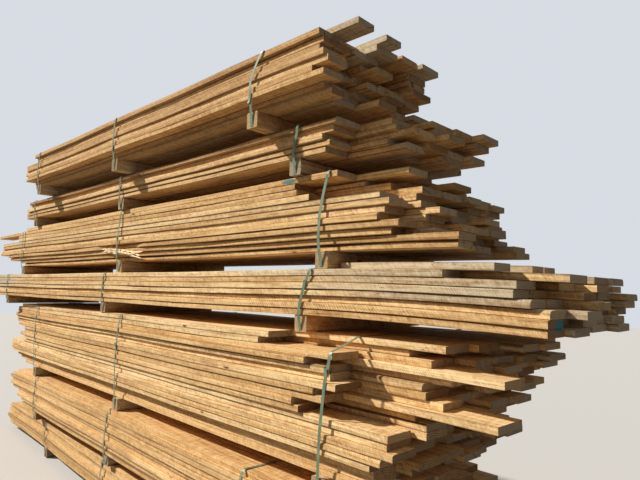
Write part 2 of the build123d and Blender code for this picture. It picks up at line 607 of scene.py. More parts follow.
    def look(self, spot: Spot, draw: random.Random) -> Triple:
        """What a board's finishes read of it.

        Args:
            spot: Where it lies in the pile.
            draw: The board's own random stream.

        Returns:
            Its tone, its grey and a random number of its own.
        """
        grey = float(draw.random() < self.weather * 2) * draw.uniform(0.1, 1.0) ** 2
        if spot.nearest:
            grey = draw.uniform(*self.greyed_look) if spot.layer in self.greyed else 0.0
        tone = self.tone[0] + (self.tone[1] - self.tone[0]) * draw.random()
        if spot.loose:
            tone, grey = self.loose_look
        return tone, grey, draw.random()

    def add_board(
        self, sheet: MeshSheet, solid: CadSolid, spot: Spot, supports: list[float], draw: random.Random
    ) -> None:
        """Adds one board: its sections swept along it, with its droop.

        Args:
            sheet: The pile's mesh.
            solid: The board's CAD solid.
            spot: Where it lies in the pile.
            supports: Where the bundle is held.
            draw: The board's own random stream.
        """
        x = self.stations(solid, spot.shows, draw)
        across, up, edge = self.section(solid, x, spot, draw)
        ring, sections, half = len(edge), len(x), solid.length / 2
        along = np.repeat(x[:, None], ring, 1)
        skew = draw.uniform(-self.skew, self.skew)
        along[0] = np.maximum(along[0] + (across[0] - solid.low[1]) * skew, -half)
        along[-1] = np.minimum(along[-1] + (across[-1] - solid.low[1]) * skew, half)
        drop = self.droop.at(solid.at_along + along, supports, spot.depth)
        straight = np.stack((along, across, up), 2).reshape(-1, 3)
        points = solid.place(straight - np.outer(drop, UP))
        faces = tube_faces(ring, sections)
        slots = [0] * len(faces)
        for centre, end in enumerate(end_rings(ring, sections), len(points)):
            faces.extend((end[corner], end[(corner + 1) % ring], centre) for corner in range(ring))
            slots.extend([1] * ring)
        pith_across = draw.uniform(-self.pith_across, self.pith_across)
        pith_up = draw.choice((-1, 1)) * draw.uniform(*self.pith_off)
        pith_up += (solid.low[2] + solid.high[2]) / 2
        grain = straight - (-draw.uniform(0, self.log_length), pith_across, pith_up)
        reach = np.append(half - np.abs(straight[:, 0]), (0.0, 0.0))
        worn = np.append(np.tile(edge, sections), (0.0, 0.0))
        look = np.tile(self.look(spot, draw), (len(reach), 1))
        ripple = 1.0 if spot.layer in self.rippled else self.faint_ripple * draw.random()
        wear = np.column_stack((reach, worn, np.full(len(reach), ripple)))
        points, grain = with_end_middles(points, ring), with_end_middles(grain, ring)
        sheet.add(points, faces, slots, grain, look, wear)


@dataclass
class TornEdge:
    """The torn place in a board's near edge, with its slivers.

    Attributes:
        bundle: The bundle that it is on.
        left: Left end of the torn stretch, in metres.
        right: Right end of it.
        near: The near face there.
        height: Height of the torn board's middle.
        depth: How deep the edge is torn out.
        fall: How far the torn stretch drops from its left end to its right one.
        scatter: Range of a sliver's own drop beside that.
        taken: Share of the stretch that has slivers.
        stray: Share of their spacing by which they lie off their place.
        root: Range of how deep a sliver starts behind the near face.
        length: Range of the slivers' length.
        stick_out: Range of how steeply a sliver leads out of the board.
        dip: Range of how steeply it leads down.
        width: Range of half their width.
        thick: Range of half their thickness.
        sag: How far a sliver's tip hangs.
        thinning: Power by which a sliver thins towards its tip.
        knobs: How often its size goes up and down, in radians, and by what share.
        tip: Share of its size that its tip keeps.
        look: Tone, grey and stains of the torn wood.
        uncut: Distance from an end that it shows, which is past every end's wear, in metres.
        log_length: Length over which the slivers' places in the log are spread.
        pith: How far out from the log's pith they lie, across and up.
        count: Number of slivers.
        rings: Number of sections along a sliver.
        sides: Number of points round each.
        seed: Start of its random stream.
    """

    bundle: str
    left: float
    right: float
    near: float
    height: float
    depth: float = 0.04
    fall: float = 0.05
    scatter: Pair = (-0.012, 0.014)
    taken: float = 0.8
    stray: float = 0.3
    root: Pair = (0.004, 0.016)
    length: Pair = (0.12, 0.3)
    stick_out: Pair = (0.06, 0.14)
    dip: Pair = (-0.01, 0.17)
    width: Pair = (0.006, 0.02)
    thick: Pair = (0.004, 0.009)
    sag: float = 0.006
    thinning: float = 0.6
    knobs: Pair = (9.0, 0.3)
    tip: float = 0.04
    look: Triple = (0.0, 0.0, 0.05)
    uncut: float = 9.0
    log_length: float = 50.0
    pith: Pair = (0.03, 0.05)
    count: int = 40
    rings: int = 8
    sides: int = 5
    seed: int = 3

    def cut(self, x: np.ndarray) -> np.ndarray:
        """How far the torn edge stands back at each place along the board."""
        share = (x - self.left) / (self.right - self.left)
        return self.depth * np.sin(math.pi * np.clip(share, 0, 1)) ** 0.5

    def build(self, material: bpy.types.Material) -> bpy.types.Object:
        """Builds the slivers as one joined mesh.

        Args:
            material: Finish of the torn wood.

        Returns:
            The joined object, riding on the part.
        """
        draw = random.Random(self.seed)
        sheet = MeshSheet(f"{self.bundle}_torn_slivers")
        for index in range(self.count):
            share = (index + draw.uniform(-self.stray, self.stray)) / self.count
            drop = self.fall * share + draw.uniform(*self.scatter)
            x = self.left + (self.right - self.left) * share * self.taken
            root = np.array((x, self.near + draw.uniform(*self.root), self.height - drop))
            length = draw.uniform(*self.length)
            way = np.array((1.0, -draw.uniform(*self.stick_out), -draw.uniform(*self.dip)))
            self.add_sliver(sheet, root, way / np.linalg.norm(way) * length, draw)
        obj = sheet.build([material])
        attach(obj, "root")
        LOG.info("%s: %d faces", obj.name, len(obj.data.polygons))
        return obj

    def add_sliver(
        self, sheet: MeshSheet, root: np.ndarray, way: np.ndarray, draw: random.Random
    ) -> None:
        """Adds one sliver: a flat spindle that starts in the board and thins to a point.

        Args:
            sheet: The slivers' mesh.
            root: Where it starts.
            way: From there to its tip.
            draw: The torn place's random stream.
        """
        width, thick = draw.uniform(*self.width), draw.uniform(*self.thick)
        pace, height = self.knobs
        points = []
        for index in range(self.rings):
            share = index / (self.rings - 1)
            knob = 1 - height + height * math.sin(share * pace + draw.uniform(0, 1))
            size = (1 - share) ** self.thinning * knob
            middle = root + way * share + np.array((0, -self.sag * share**2, 0))
            for turn in range(self.sides):
                angle = math.tau * turn / self.sides
                offset = np.array((0.0, math.cos(angle) * thick, math.sin(angle) * width))
                points.append(middle + offset * max(size, self.tip))
        faces = tube_faces(self.sides, self.rings) + list(end_rings(self.sides, self.rings))
        body = np.array(points)
        grain = body - root + np.array((draw.uniform(0, self.log_length), *self.pith))
        look = np.tile(self.look, (len(body), 1))
        wear = np.tile((self.uncut, 0.0, 0.0), (len(body), 1))
        sheet.add(body, faces, [0] * len(faces), grain, look, wear)


def wane_of(solid: CadSolid) -> Triple:
    """Reads a board's wane from its section.

    Args:
        solid: The board's CAD solid.

    Returns:
        The wane's width on the near and on the far edge, and its depth, in metres.
    """
    level, least = 0.0005, 0.004
    across, up = solid.profile.T
    on_top = across[up > solid.high[2] - level]
    near = float(on_top.min() - solid.low[1])
    far = float(solid.high[1] - on_top.max())
    below = float(solid.high[2] - up[up < solid.high[2] - level].max())
    down = below if max(near, far) > least else 0.0
    return (near if near > least else 0.0), (far if far > least else 0.0), down


def bearer_lines(bundle: str) -> list[float]:
    """Where a bundle's three bearers stand.

    Args:
        bundle: The bundle's name.

    Returns:
        Their places along its boards, left one first, in metres.
    """
    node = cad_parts[f"{bundle}_{Kind.BEARERS.value}"]
    solids = [read_solid(part) for part in loose_parts(node)]
    along = solids[0].across if solids[0].across[0] > 0 else -solids[0].across
    return sorted(float(solid.origin @ along) for solid in solids)


def held_at(bundle: str) -> list[float]:
    """Where a bundle is held: its outermost bearer lines, or the load's above, and its middle one.

    Args:
        bundle: The bundle's name, which ends in its number from the floor up.

    Returns:
        The left, middle and right lines, in metres.
    """
    first, middle, last = bearer_lines(bundle)
    stem, number = bundle.rsplit("_", 1)
    above = f"{stem}_{int(number) + 1}"
    if f"{above}_{Kind.BEARERS.value}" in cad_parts:
        load = bearer_lines(above)
        first, last = min(first, load[0]), max(last, load[-1])
    return [first, middle, last]


@dataclass
class BearerSet:
    """The square bearers of one bundle, as one joined mesh.

    Attributes:
        bundle: The bundle's name.
        seed: Start of its random stream.
        step: Spacing of the sections along a bearer, in metres.
        corner: Width of a worn corner.
        bow: Where a corner's middle point lies, as a share of its width.
        slack: Most that sawing leaves off each side.
        wave: Rough distance between the waves in its sides.
        notch_reach: How near the section's middle the corners of the strap's notch lie.
        pith: Most that the log's pith lies from the bearer's middle each way.
        log_length: Length over which the bearers' places in the log are spread.
        weather: Most grey.
    """

    bundle: str
    seed: int
    step: float = 0.06
    corner: float = 0.006
    bow: float = 0.3
    slack: float = 0.0015
    wave: float = 0.7
    notch_reach: float = 0.02
    pith: float = 0.03
    log_length: float = 90.0
    weather: float = 0.15

    def build(self, materials: list[bpy.types.Material]) -> bpy.types.Object:
        """Builds the bearers over their CAD node.

        Args:
            materials: Finishes of the long faces and of the ends.

        Returns:
            The joined object, riding on the part.
        """
        node = f"{self.bundle}_{Kind.BEARERS.value}"
        sheet = MeshSheet(f"{self.bundle}_square_bearers")
        for index, part in enumerate(loose_parts(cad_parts[node])):
            draw = random.Random(self.seed * BEARER_STREAM + index)
            self.add_bearer(sheet, read_solid(part), draw)
        obj = sheet.build(materials)
        dress(obj, node)
        return obj

    def section(self, solid: CadSolid) -> list[Triple]:
        """A bearer's section, with the notch for its strap.

        Args:
            solid: The bearer's CAD solid.

        Returns:
            Each corner's place across and up, and its wear.
        """
        near, far = solid.low[1], solid.high[1]
        low, high = solid.low[2], solid.high[2]
        inner = solid.profile[np.abs(solid.profile[:, 0]) < self.notch_reach]
        left, right, deep = inner[:, 0].min(), inner[:, 0].max(), inner[:, 1].max()
        c, b = self.corner, self.corner * self.bow
        return [
            (near, low + c, 1.0), (near + b, low + b, 1.0), (near + c, low, 1.0),
            (left, low, 0.0), (left, deep, 0.0), (right, deep, 0.0), (right, low, 0.0),
            (far - c, low, 1.0), (far - b, low + b, 1.0), (far, low + c, 1.0),
            (far, (low + high) / 2, 0.0),
            (far, high - c, 1.0), (far - b, high - b, 1.0), (far - c, high, 1.0),
            (0.0, high, 0.0),
            (near + c, high, 1.0), (near + b, high - b, 1.0), (near, high - c, 1.0),
            (near, (low + high) / 2, 0.0),
        ]

    def add_bearer(self, sheet: MeshSheet, solid: CadSolid, draw: random.Random) -> None:
        """Adds one bearer, its sides a little uneven.

        Args:
            sheet: The set's mesh.
            solid: The bearer's CAD solid.
            draw: The bearer's own random stream.
        """
        half = solid.length / 2
        x = np.linspace(-half, half, round(solid.length / self.step) + 1)
        across, up, worn = np.array(self.section(solid)).T
        ring, sections = len(worn), len(x)
        inward = 1 - self.slack / solid.high[1] * 0.5 * swing(draw, x, self.wave)
        along = np.repeat(x[:, None], ring, 1)
        heights = np.repeat(up[None, :], sections, 0)
        local = np.stack((along, across[None, :] * inward[:, None], heights), 2).reshape(-1, 3)
        faces = tube_faces(ring, sections)
        slots = [0] * len(faces) + [1, 1]
        faces += end_rings(ring, sections)
        shift = draw.uniform(0, self.log_length)
        pith = (draw.uniform(-self.pith, self.pith), draw.uniform(-self.pith, self.pith))
        middle_up = (solid.low[2] + solid.high[2]) / 2
        grain = local - (-shift, pith[0], pith[1] + middle_up)
        tone, grey, odd = draw.random(), draw.uniform(0.0, self.weather), draw.random()
        look = np.tile((tone, grey, odd), (len(local), 1))
        reach = half - np.abs(local[:, 0])
        wear = np.column_stack((reach, np.tile(worn, sections), np.zeros(len(local))))
        sheet.add(solid.place(local), faces, slots, grain, look, wear)


def dress(obj: bpy.types.Object, node: str) -> None:
    """Lets a finished piece stand for its CAD node and ride on the part.

    Args:
        obj: The piece.
        node: The CAD node that it is built over.
    """
    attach(obj, "root")
    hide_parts(node)
    LOG.info("%s: %d faces", obj.name, len(obj.data.polygons))


@dataclass
class StrapSet:
    """The plastic straps of one bundle, swept along their loops by Geometry Nodes.

    Attributes:
        bundle: The bundle's name.
        lean: For each strap, left one first, how far its top lies to the right of its bottom,
            and the share of its height at which it starts to lean.
        width: Width of the band.
        thickness: Thickness of the band.
        bend: Half the length over which the stiff band turns an upper edge.
        low_bend: The same at the bearer's lower edges, where the load presses it flat.
        tight_below: Share of its height up to which it is pressed flat.
        blend: Share of its height over which that gives way to the wider bend.
        lean_curve: Power by which the lean grows with height.
        pitch: Spacing at which the loop is worked out.
        thin: Every how many of those points the band keeps.
        tail: Length of the band's doubled end and of its loose tip.
        tail_height: Range of the height at which it starts, as a share of the loop's.
        lap: How far the doubled end lies off the band, in thicknesses.
        tip_off: Range of how far the tip stands off.
        tip_aside: Most that it stands to a side.
    """

    bundle: str
    lean: tuple[Pair, ...]
    width: float = 0.018
    thickness: float = 0.0009
    bend: float = 0.016
    low_bend: float = 0.006
    tight_below: float = 0.25
    blend: float = 0.3
    lean_curve: float = 1.4
    pitch: float = 0.004
    thin: int = 3
    tail: Pair = (0.06, 0.05)
    tail_height: Pair = (0.35, 0.7)
    lap: float = 1.3
    tip_off: Pair = (0.003, 0.009)
    tip_aside: float = 0.012

    def build(self, material: bpy.types.Material) -> bpy.types.Object:
        """Builds the straps over their CAD node.

        Args:
            material: Finish of the band.

        Returns:
            The joined object, riding on the part.
        """
        node = f"{self.bundle}_{Kind.STRAPS.value}"
        parts = sorted(loose_parts(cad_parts[node]), key=lambda part: float(part[:, 0].mean()))
        draw = random.Random(self.bundle)
        lines = bpy.data.meshes.new("strap_lines")
        points: list[tuple[float, ...]] = []
        edges: list[tuple[int, int]] = []
        for part, (lean, knee) in zip(parts, self.lean):
            loop = self.loop(part, lean, knee)
            for line, closed in ((loop, True), (self.loose_end(loop, draw), False)):
                first, size = len(points), len(line)
                points.extend(map(tuple, line))
                steps = size if closed else size - 1
                edges.extend((first + step, first + (step + 1) % size) for step in range(steps))
        lines.from_pydata(points, edges, [])
        obj = bpy.data.objects.new(f"{self.bundle}_plastic_straps", lines)
        bpy.context.scene.collection.objects.link(obj)
        side = read_solid(parts[0])
        normal = Vector(side.across if abs(side.across[0]) > abs(side.along[0]) else side.along)
        tree = band_tree()
        modifier = obj.modifiers.new("band", "NODES")
        modifier.node_group = tree
        for name, value in (
            ("Width", self.width),
            ("Thickness", self.thickness),
            ("Side", normal),
            ("Finish", material),
        ):
            modifier[socket_id(tree, name)] = value
        bake(obj)
        dress(obj, node)
        return obj

    def loop(self, part: np.ndarray, lean: float, knee: float) -> np.ndarray:
        """The band's middle line: the solid's outer loop, rounded and leant over to the right.

        Args:
            part: Points of the strap's CAD solid.
            lean: Shift of its top to the right, in metres.
            knee: Share of its height at which the lean starts.

        Returns:
            Points in the frame, anticlockwise seen from the right end.
        """
        solid = read_solid(part)
        flat = np.column_stack(((part - solid.origin) @ solid.along, part[:, 2]))
        line = even_points(convex_outline(flat), self.pitch)
        low, high = line[:, 1].min(), line[:, 1].max()
        share = np.clip((line[:, 1] - low) / (high - low), 0, 1)
        wide = stand_off(line, self.bend, True)
        tight = stand_off(line, self.low_bend, False)
        blend = np.clip((share - self.tight_below) / self.blend, 0, 1)[:, None]
        rounded = (tight + (wide - tight) * blend)[:: self.thin]
        inward = flat.mean(0) - rounded
        rounded += inward / np.linalg.norm(inward, axis=1)[:, None] * self.thickness / 2
        share = np.clip((rounded[:, 1] - low) / (high - low), 0, 1)
        leaning = np.clip((share - knee) / (1 - knee), 0, 1) ** self.lean_curve
        level = solid.origin + np.outer(rounded[:, 0], solid.along)
        sideways = solid.across if solid.across[0] > 0 else -solid.across
        loop = level + np.outer(lean * leaning, sideways) + np.outer(rounded[:, 1], UP)
        loop[:, 1] = np.maximum(loop[:, 1], CAD_BOX[0][1] + self.thickness)
        return loop

    def loose_end(self, loop: np.ndarray, draw: random.Random) -> np.ndarray:
        """The band's doubled end: it lies on the band, then its tip stands off.

        Args:
            loop: The band's middle line.
            draw: The set's random stream.

        Returns:
            Points in the frame along the doubled end.
        """
        near = loop[:, 1] < loop.mean(0)[1]
        low, high = loop[:, 2].min(), loop[:, 2].max()
        level = low + draw.uniform(*self.tail_height) * (high - low)
        start = int(np.argmin(np.where(near, np.abs(loop[:, 2] - level), np.inf)))
        pitch = float(np.linalg.norm(loop[1] - loop[0]))
        count = round(sum(self.tail) / pitch)
        step = 1 if draw.random() < 0.5 else -1
        path = np.array([loop[(start + step * index) % len(loop)] for index in range(count + 1)])
        along = np.linspace(0, sum(self.tail), count + 1)
        free = np.clip((along - self.tail[0]) / self.tail[1], 0, 1)
        off = self.lap * self.thickness + draw.uniform(*self.tip_off) * free**2
        path[:, 1] = np.maximum(path[:, 1] - off, CAD_BOX[0][1] + self.thickness / 2)
        path[:, 0] += draw.uniform(-self.tip_aside, self.tip_aside) * free
        return path


def convex_outline(points: np.ndarray) -> np.ndarray:
    """The tight loop round flat points.

    Args:
        points: The points, two values each.

    Returns:
        Its corners, anticlockwise.
    """
    ordered = sorted(map(tuple, points))

    def half(run: list[Pair]) -> list[Pair]:
        """Follows one side of the loop.

        Args:
            run: All the points, sorted along the side.

        Returns:
            The side's corners, without the last one.
        """
        chain: list[Pair] = []
        for x, y in run:
            while len(chain) > 1:
                (ax, ay), (bx, by) = chain[-2:]
                if (bx - ax) * (y - ay) - (by - ay) * (x - ax) > 1e-9:
                    break
                chain.pop()
            chain.append((x, y))
        return chain[:-1]

    return np.array(half(ordered) + half(ordered[::-1]))


def even_points(outline: np.ndarray, pitch: float) -> np.ndarray:
    """Spaces points evenly round a closed outline.

    Args:
        outline: Its corners.
        pitch: The spacing, which is fitted to the outline's length.

    Returns:
        The points.
    """
    ends = np.roll(outline, -1, 0)
    lengths = np.linalg.norm(ends - outline, axis=1)
    marks = np.concatenate(([0.0], np.cumsum(lengths)))
    places = np.linspace(0, marks[-1], round(marks[-1] / pitch), endpoint=False)
    closed = np.vstack((outline, outline[:1]))
    return np.column_stack([np.interp(places, marks, closed[:, axis]) for axis in (0, 1)])


def even_out(values: np.ndarray, reach: int) -> np.ndarray:
    """The running mean of values round a loop.

    Args:
        values: The values, one after another round the loop.
        reach: How many to each side the mean takes in.

    Returns:
        As many values.
    """
    window = np.ones(2 * reach + 1) / (2 * reach + 1)
    wrapped = np.concatenate((values[-reach:], values, values[:reach]))
    return np.convolve(wrapped, window, "valid")


def stand_off(line: np.ndarray, bend: float, clear: bool) -> np.ndarray:
    """The line that a stiff band takes round a closed convex line.

    Args:
        line: Evenly spaced points, anticlockwise.
        bend: Half the length over which the band turns a corner.
        clear: Whether it passes outside the corners or presses them in.

    Returns:
        The same number of points.
    """
    pitch = float(np.linalg.norm(line[1] - line[0]))
    reach = max(1, round(bend / pitch))
    smooth = np.column_stack([even_out(line[:, axis], reach) for axis in (0, 1)])
    if not clear:
        return smooth
    tangent = np.roll(smooth, -1, 0) - np.roll(smooth, 1, 0)
    tangent /= np.linalg.norm(tangent, axis=1)[:, None]
    normal = np.column_stack((tangent[:, 1], -tangent[:, 0]))
    cut = np.clip(((line - smooth) * normal).sum(1), 0, None)
    most = np.max([np.roll(cut, shift) for shift in range(-reach, reach + 1)], axis=0)
    return smooth + normal * even_out(most, reach)[:, None]


def socket_id(tree: bpy.types.NodeTree, name: str) -> str:
    """Identifier of a tree's input, which a modifier's value is set by."""
    return next(item.identifier for item in tree.interface.items_tree if item.name == name)


def bake(obj: bpy.types.Object) -> None:
    """Turns an object's modifiers into a plain mesh.

    Args:
        obj: The object, which keeps its name.
    """
    graph = bpy.context.evaluated_depsgraph_get()
    mesh = bpy.data.meshes.new_from_object(obj.evaluated_get(graph))
    obj.modifiers.clear()
    obj.data = mesh


def band_tree() -> bpy.types.NodeTree:
    """The Geometry Nodes tree that sweeps a flat band along closed loops.

    Returns:
        The tree, with inputs Width, Thickness, Side and Finish.
    """
    found = bpy.data.node_groups.get("flat_band")
    if found:
        return found
    tree = bpy.data.node_groups.new("flat_band", "GeometryNodeTree")
    for name, kind in (
        ("Loops", "NodeSocketGeometry"),
        ("Width", "NodeSocketFloat"),
        ("Thickness", "NodeSocketFloat"),
        ("Side", "NodeSocketVector"),
        ("Finish", "NodeSocketMaterial"),
    ):
        tree.interface.new_socket(name, in_out="INPUT", socket_type=kind)
    tree.interface.new_socket("Bands", in_out="OUTPUT", socket_type="NodeSocketGeometry")
    nodes, links = tree.nodes, tree.links
    given = nodes.new("NodeGroupInput")
    result = nodes.new("NodeGroupOutput")
    to_curve = nodes.new("GeometryNodeMeshToCurve")
    normal = nodes.new("GeometryNodeSetCurveNormal")
    normal.mode = "FREE"
    section = nodes.new("GeometryNodeCurvePrimitiveQuadrilateral")
    section.mode = "RECTANGLE"
    sweep = nodes.new("GeometryNodeCurveToMesh")
    sweep.inputs["Fill Caps"].default_value = True
    paint = nodes.new("GeometryNodeSetMaterial")
    flat = nodes.new("GeometryNodeSetShadeSmooth")
    flat.inputs["Shade Smooth"].default_value = False
    links.new(given.outputs["Loops"], to_curve.inputs["Mesh"])
    links.new(to_curve.outputs["Curve"], normal.inputs["Curve"])
    links.new(given.outputs["Side"], normal.inputs["Normal"])
    links.new(given.outputs["Width"], section.inputs["Width"])
    links.new(given.outputs["Thickness"], section.inputs["Height"])
    links.new(normal.outputs["Curve"], sweep.inputs["Curve"])
    links.new(section.outputs["Curve"], sweep.inputs["Profile Curve"])
    links.new(sweep.outputs["Mesh"], flat.inputs["Geometry"])
    links.new(flat.outputs["Geometry"], paint.inputs["Geometry"])
    links.new(given.outputs["Finish"], paint.inputs["Material"])
    links.new(paint.outputs["Geometry"], result.inputs["Bands"])
    return tree


@dataclass(frozen=True)
class Noise:
    """Noise with a scale of its own each way.

    Attributes:
        scale: Waves to a metre along, across and up.
        detail: How many finer waves lie over them.
        rough: How strong those are.
    """

    scale: Triple
    detail: float
    rough: float


class Shader:
    """A small helper that adds and joins nodes in a material or a node group."""

    def __init__(self, tree: bpy.types.NodeTree) -> None:
        """Works on the given tree."""
        self.tree = tree
        self.owner: bpy.types.Material | None = None

    def add(self, kind: str, inputs: dict | None = None, **settings: object) -> bpy.types.Node:
        """Adds a node.

        Args:
            kind: The node's type name.
            inputs: Values or sockets for its inputs, by name or number.
            settings: The node's own settings.

        Returns:
            The new node.
        """
        node = self.tree.nodes.new(kind)
        for name, value in settings.items():
            setattr(node, name, value)
        for key, value in (inputs or {}).items():
            if isinstance(value, Socket):
                self.tree.links.new(value, node.inputs[key])
            else:
                node.inputs[key].default_value = value
        return node

    @classmethod
    def material(cls, name: str) -> "Shader":
        """Makes an empty material.

        Args:
            name: The material's name.

        Returns:
            A helper that works on its nodes.
        """
        made = bpy.data.materials.new(name)
        made.use_nodes = True
        made.node_tree.nodes.clear()
        shader = cls(made.node_tree)
        shader.owner = made
        return shader

    @classmethod
    def group(cls, name: str, inputs: dict[str, str], outputs: tuple[str, ...]) -> "Shader":
        """Makes an empty node group.

        Args:
            name: The group's name.
            inputs: The kind of each input, by name.
            outputs: Names of its outputs, which are all values.

        Returns:
            A helper that works on its nodes.
        """
        tree = bpy.data.node_groups.new(name, "ShaderNodeTree")
        for label, kind in inputs.items():
            tree.interface.new_socket(label, in_out="INPUT", socket_type=f"NodeSocket{kind}")
        for label in outputs:
            tree.interface.new_socket(label, in_out="OUTPUT", socket_type="NodeSocketFloat")
        return cls(tree)

    def attribute(self, name: str) -> Socket:
        """Reads a mesh attribute as a vector."""
        return self.add("ShaderNodeAttribute", attribute_name=name).outputs["Vector"]

    def split(self, vector: Socket) -> list[Socket]:
        """The three parts of a vector."""
        return list(self.add("ShaderNodeSeparateXYZ", {0: vector}).outputs)

    def join(self, *parts: Value) -> Socket:
        """A vector of the given parts, with 0 for those that are missing."""
        return self.add("ShaderNodeCombineXYZ", dict(enumerate(parts))).outputs[0]

    def channels(self, name: str) -> list[Socket]:
        """The three values of a mesh attribute."""
        return self.split(self.attribute(name))

    def surface(self, color: Socket, roughness: Value, specular: float, bump: bpy.types.Node) -> None:
        """Adds the Principled shader and the output.

        Args:
            color: Its base colour.
            roughness: Its roughness.
            specular: Its specular level.
            bump: The Bump node that gives its normal.
        """
        shader = self.add(
            "ShaderNodeBsdfPrincipled",
            {
                "Base Color": color,
                "Roughness": roughness,
                "Normal": bump.outputs[0],
                "Specular IOR Level": specular,
            },
        )
        self.add("ShaderNodeOutputMaterial", {"Surface": shader.outputs[0]})

    def bump(self, height: Socket, strength: float, distance: float) -> bpy.types.Node:
        """Adds a Bump node for relief of the given depth, in metres."""
        inputs = {"Height": height, "Strength": strength, "Distance": distance}
        return self.add("ShaderNodeBump", inputs)

    def math(self, operation: str, first: Value, second: Value = 0.0, clamp: bool = False) -> Socket:
        """Adds a Math node and returns its result."""
        node = self.add("ShaderNodeMath", {0: first, 1: second}, operation=operation, use_clamp=clamp)
        return node.outputs[0]

    def times(self, first: Value, second: Value, clamp: bool = False) -> Socket:
        """The product of two values."""
        return self.math("MULTIPLY", first, second, clamp)

    def plus(self, first: Value, second: Value, clamp: bool = False) -> Socket:
        """The sum of two values."""
        return self.math("ADD", first, second, clamp)

    def minus(self, first: Value, second: Value) -> Socket:
        """The first value less the second."""
        return self.math("SUBTRACT", first, second)

    def vector(self, operation: str, first: Socket, second: Socket | Triple) -> Socket:
        """Adds a Vector Math node and returns its vector."""
        return self.add("ShaderNodeVectorMath", {0: first, 1: second}, operation=operation).outputs[0]

    def stretch(self, vector: Socket, scale: Socket | Triple) -> Socket:
        """Scales a vector by another, part by part."""
        return self.vector("MULTIPLY", vector, scale)

    def ramp(self, value: Value, start: float, end: float) -> Socket:
        """A smooth step of the value from 0 at start to 1 at end."""
        inputs = {"Value": value, "From Min": start, "From Max": end}
        return self.add("ShaderNodeMapRange", inputs, interpolation_type="SMOOTHSTEP").outputs[0]

    def fall(self, value: Value, start: float, end: float) -> Socket:
        """A smooth step of the value from 1 at start to 0 at end."""
        return self.minus(1.0, self.ramp(value, start, end))

    def mix(self, share: Value, first: Socket | Color, second: Socket | Color) -> Socket:
        """Mixes two colours.

        Args:
            share: How much of the second one shows.
            first: The first colour.
            second: The second colour.

        Returns:
            The mixed colour.
        """
        colors = {
            index: color if isinstance(color, Socket) else (*color, 1.0)
            for index, color in ((6, first), (7, second))
        }
        node = self.add("ShaderNodeMix", data_type="RGBA", blend_type="MIX")
        for index, value in ((0, share), *colors.items()):
            if isinstance(value, Socket):
                self.tree.links.new(value, node.inputs[index])
            else:
                node.inputs[index].default_value = value
        return node.outputs[2]

    def coat(self, base: Socket | Color, color: Color, mask: Value, strength: float) -> Socket:
        """Lays a colour over the base where the mask says, at most at the given strength."""
        return self.mix(self.times(mask, strength), base, color)

    def noise(
        self, vector: Socket, scale: float = 1.0, detail: float = 3.0, rough: float = 0.55
    ) -> Socket:
        """Adds a noise texture and returns its value."""
        inputs = {"Vector": vector, "Scale": scale, "Detail": detail, "Roughness": rough}
        return self.add("ShaderNodeTexNoise", inputs).outputs[0]

    def streaks(self, vector: Socket, noise: Noise) -> Socket:
        """Adds noise with its own scale each way and returns its value."""
        return self.noise(self.stretch(vector, noise.scale), 1.0, noise.detail, noise.rough)

    def crest(self, turn: Socket) -> Socket:
        """A sine wave between 0 and 1."""
        return self.plus(self.times(self.math("SINE", turn), 0.5), 0.5)

    def figure(self, grain: Socket, rings: float, marks: float) -> bpy.types.Node:
        """Places the group for the wood's figure, with this many rings and saw marks to a metre."""
        inputs = {"Grain": grain, "Rings": rings, "Marks": marks}
        return self.add("ShaderNodeGroup", inputs, node_tree=WoodFigure().build())


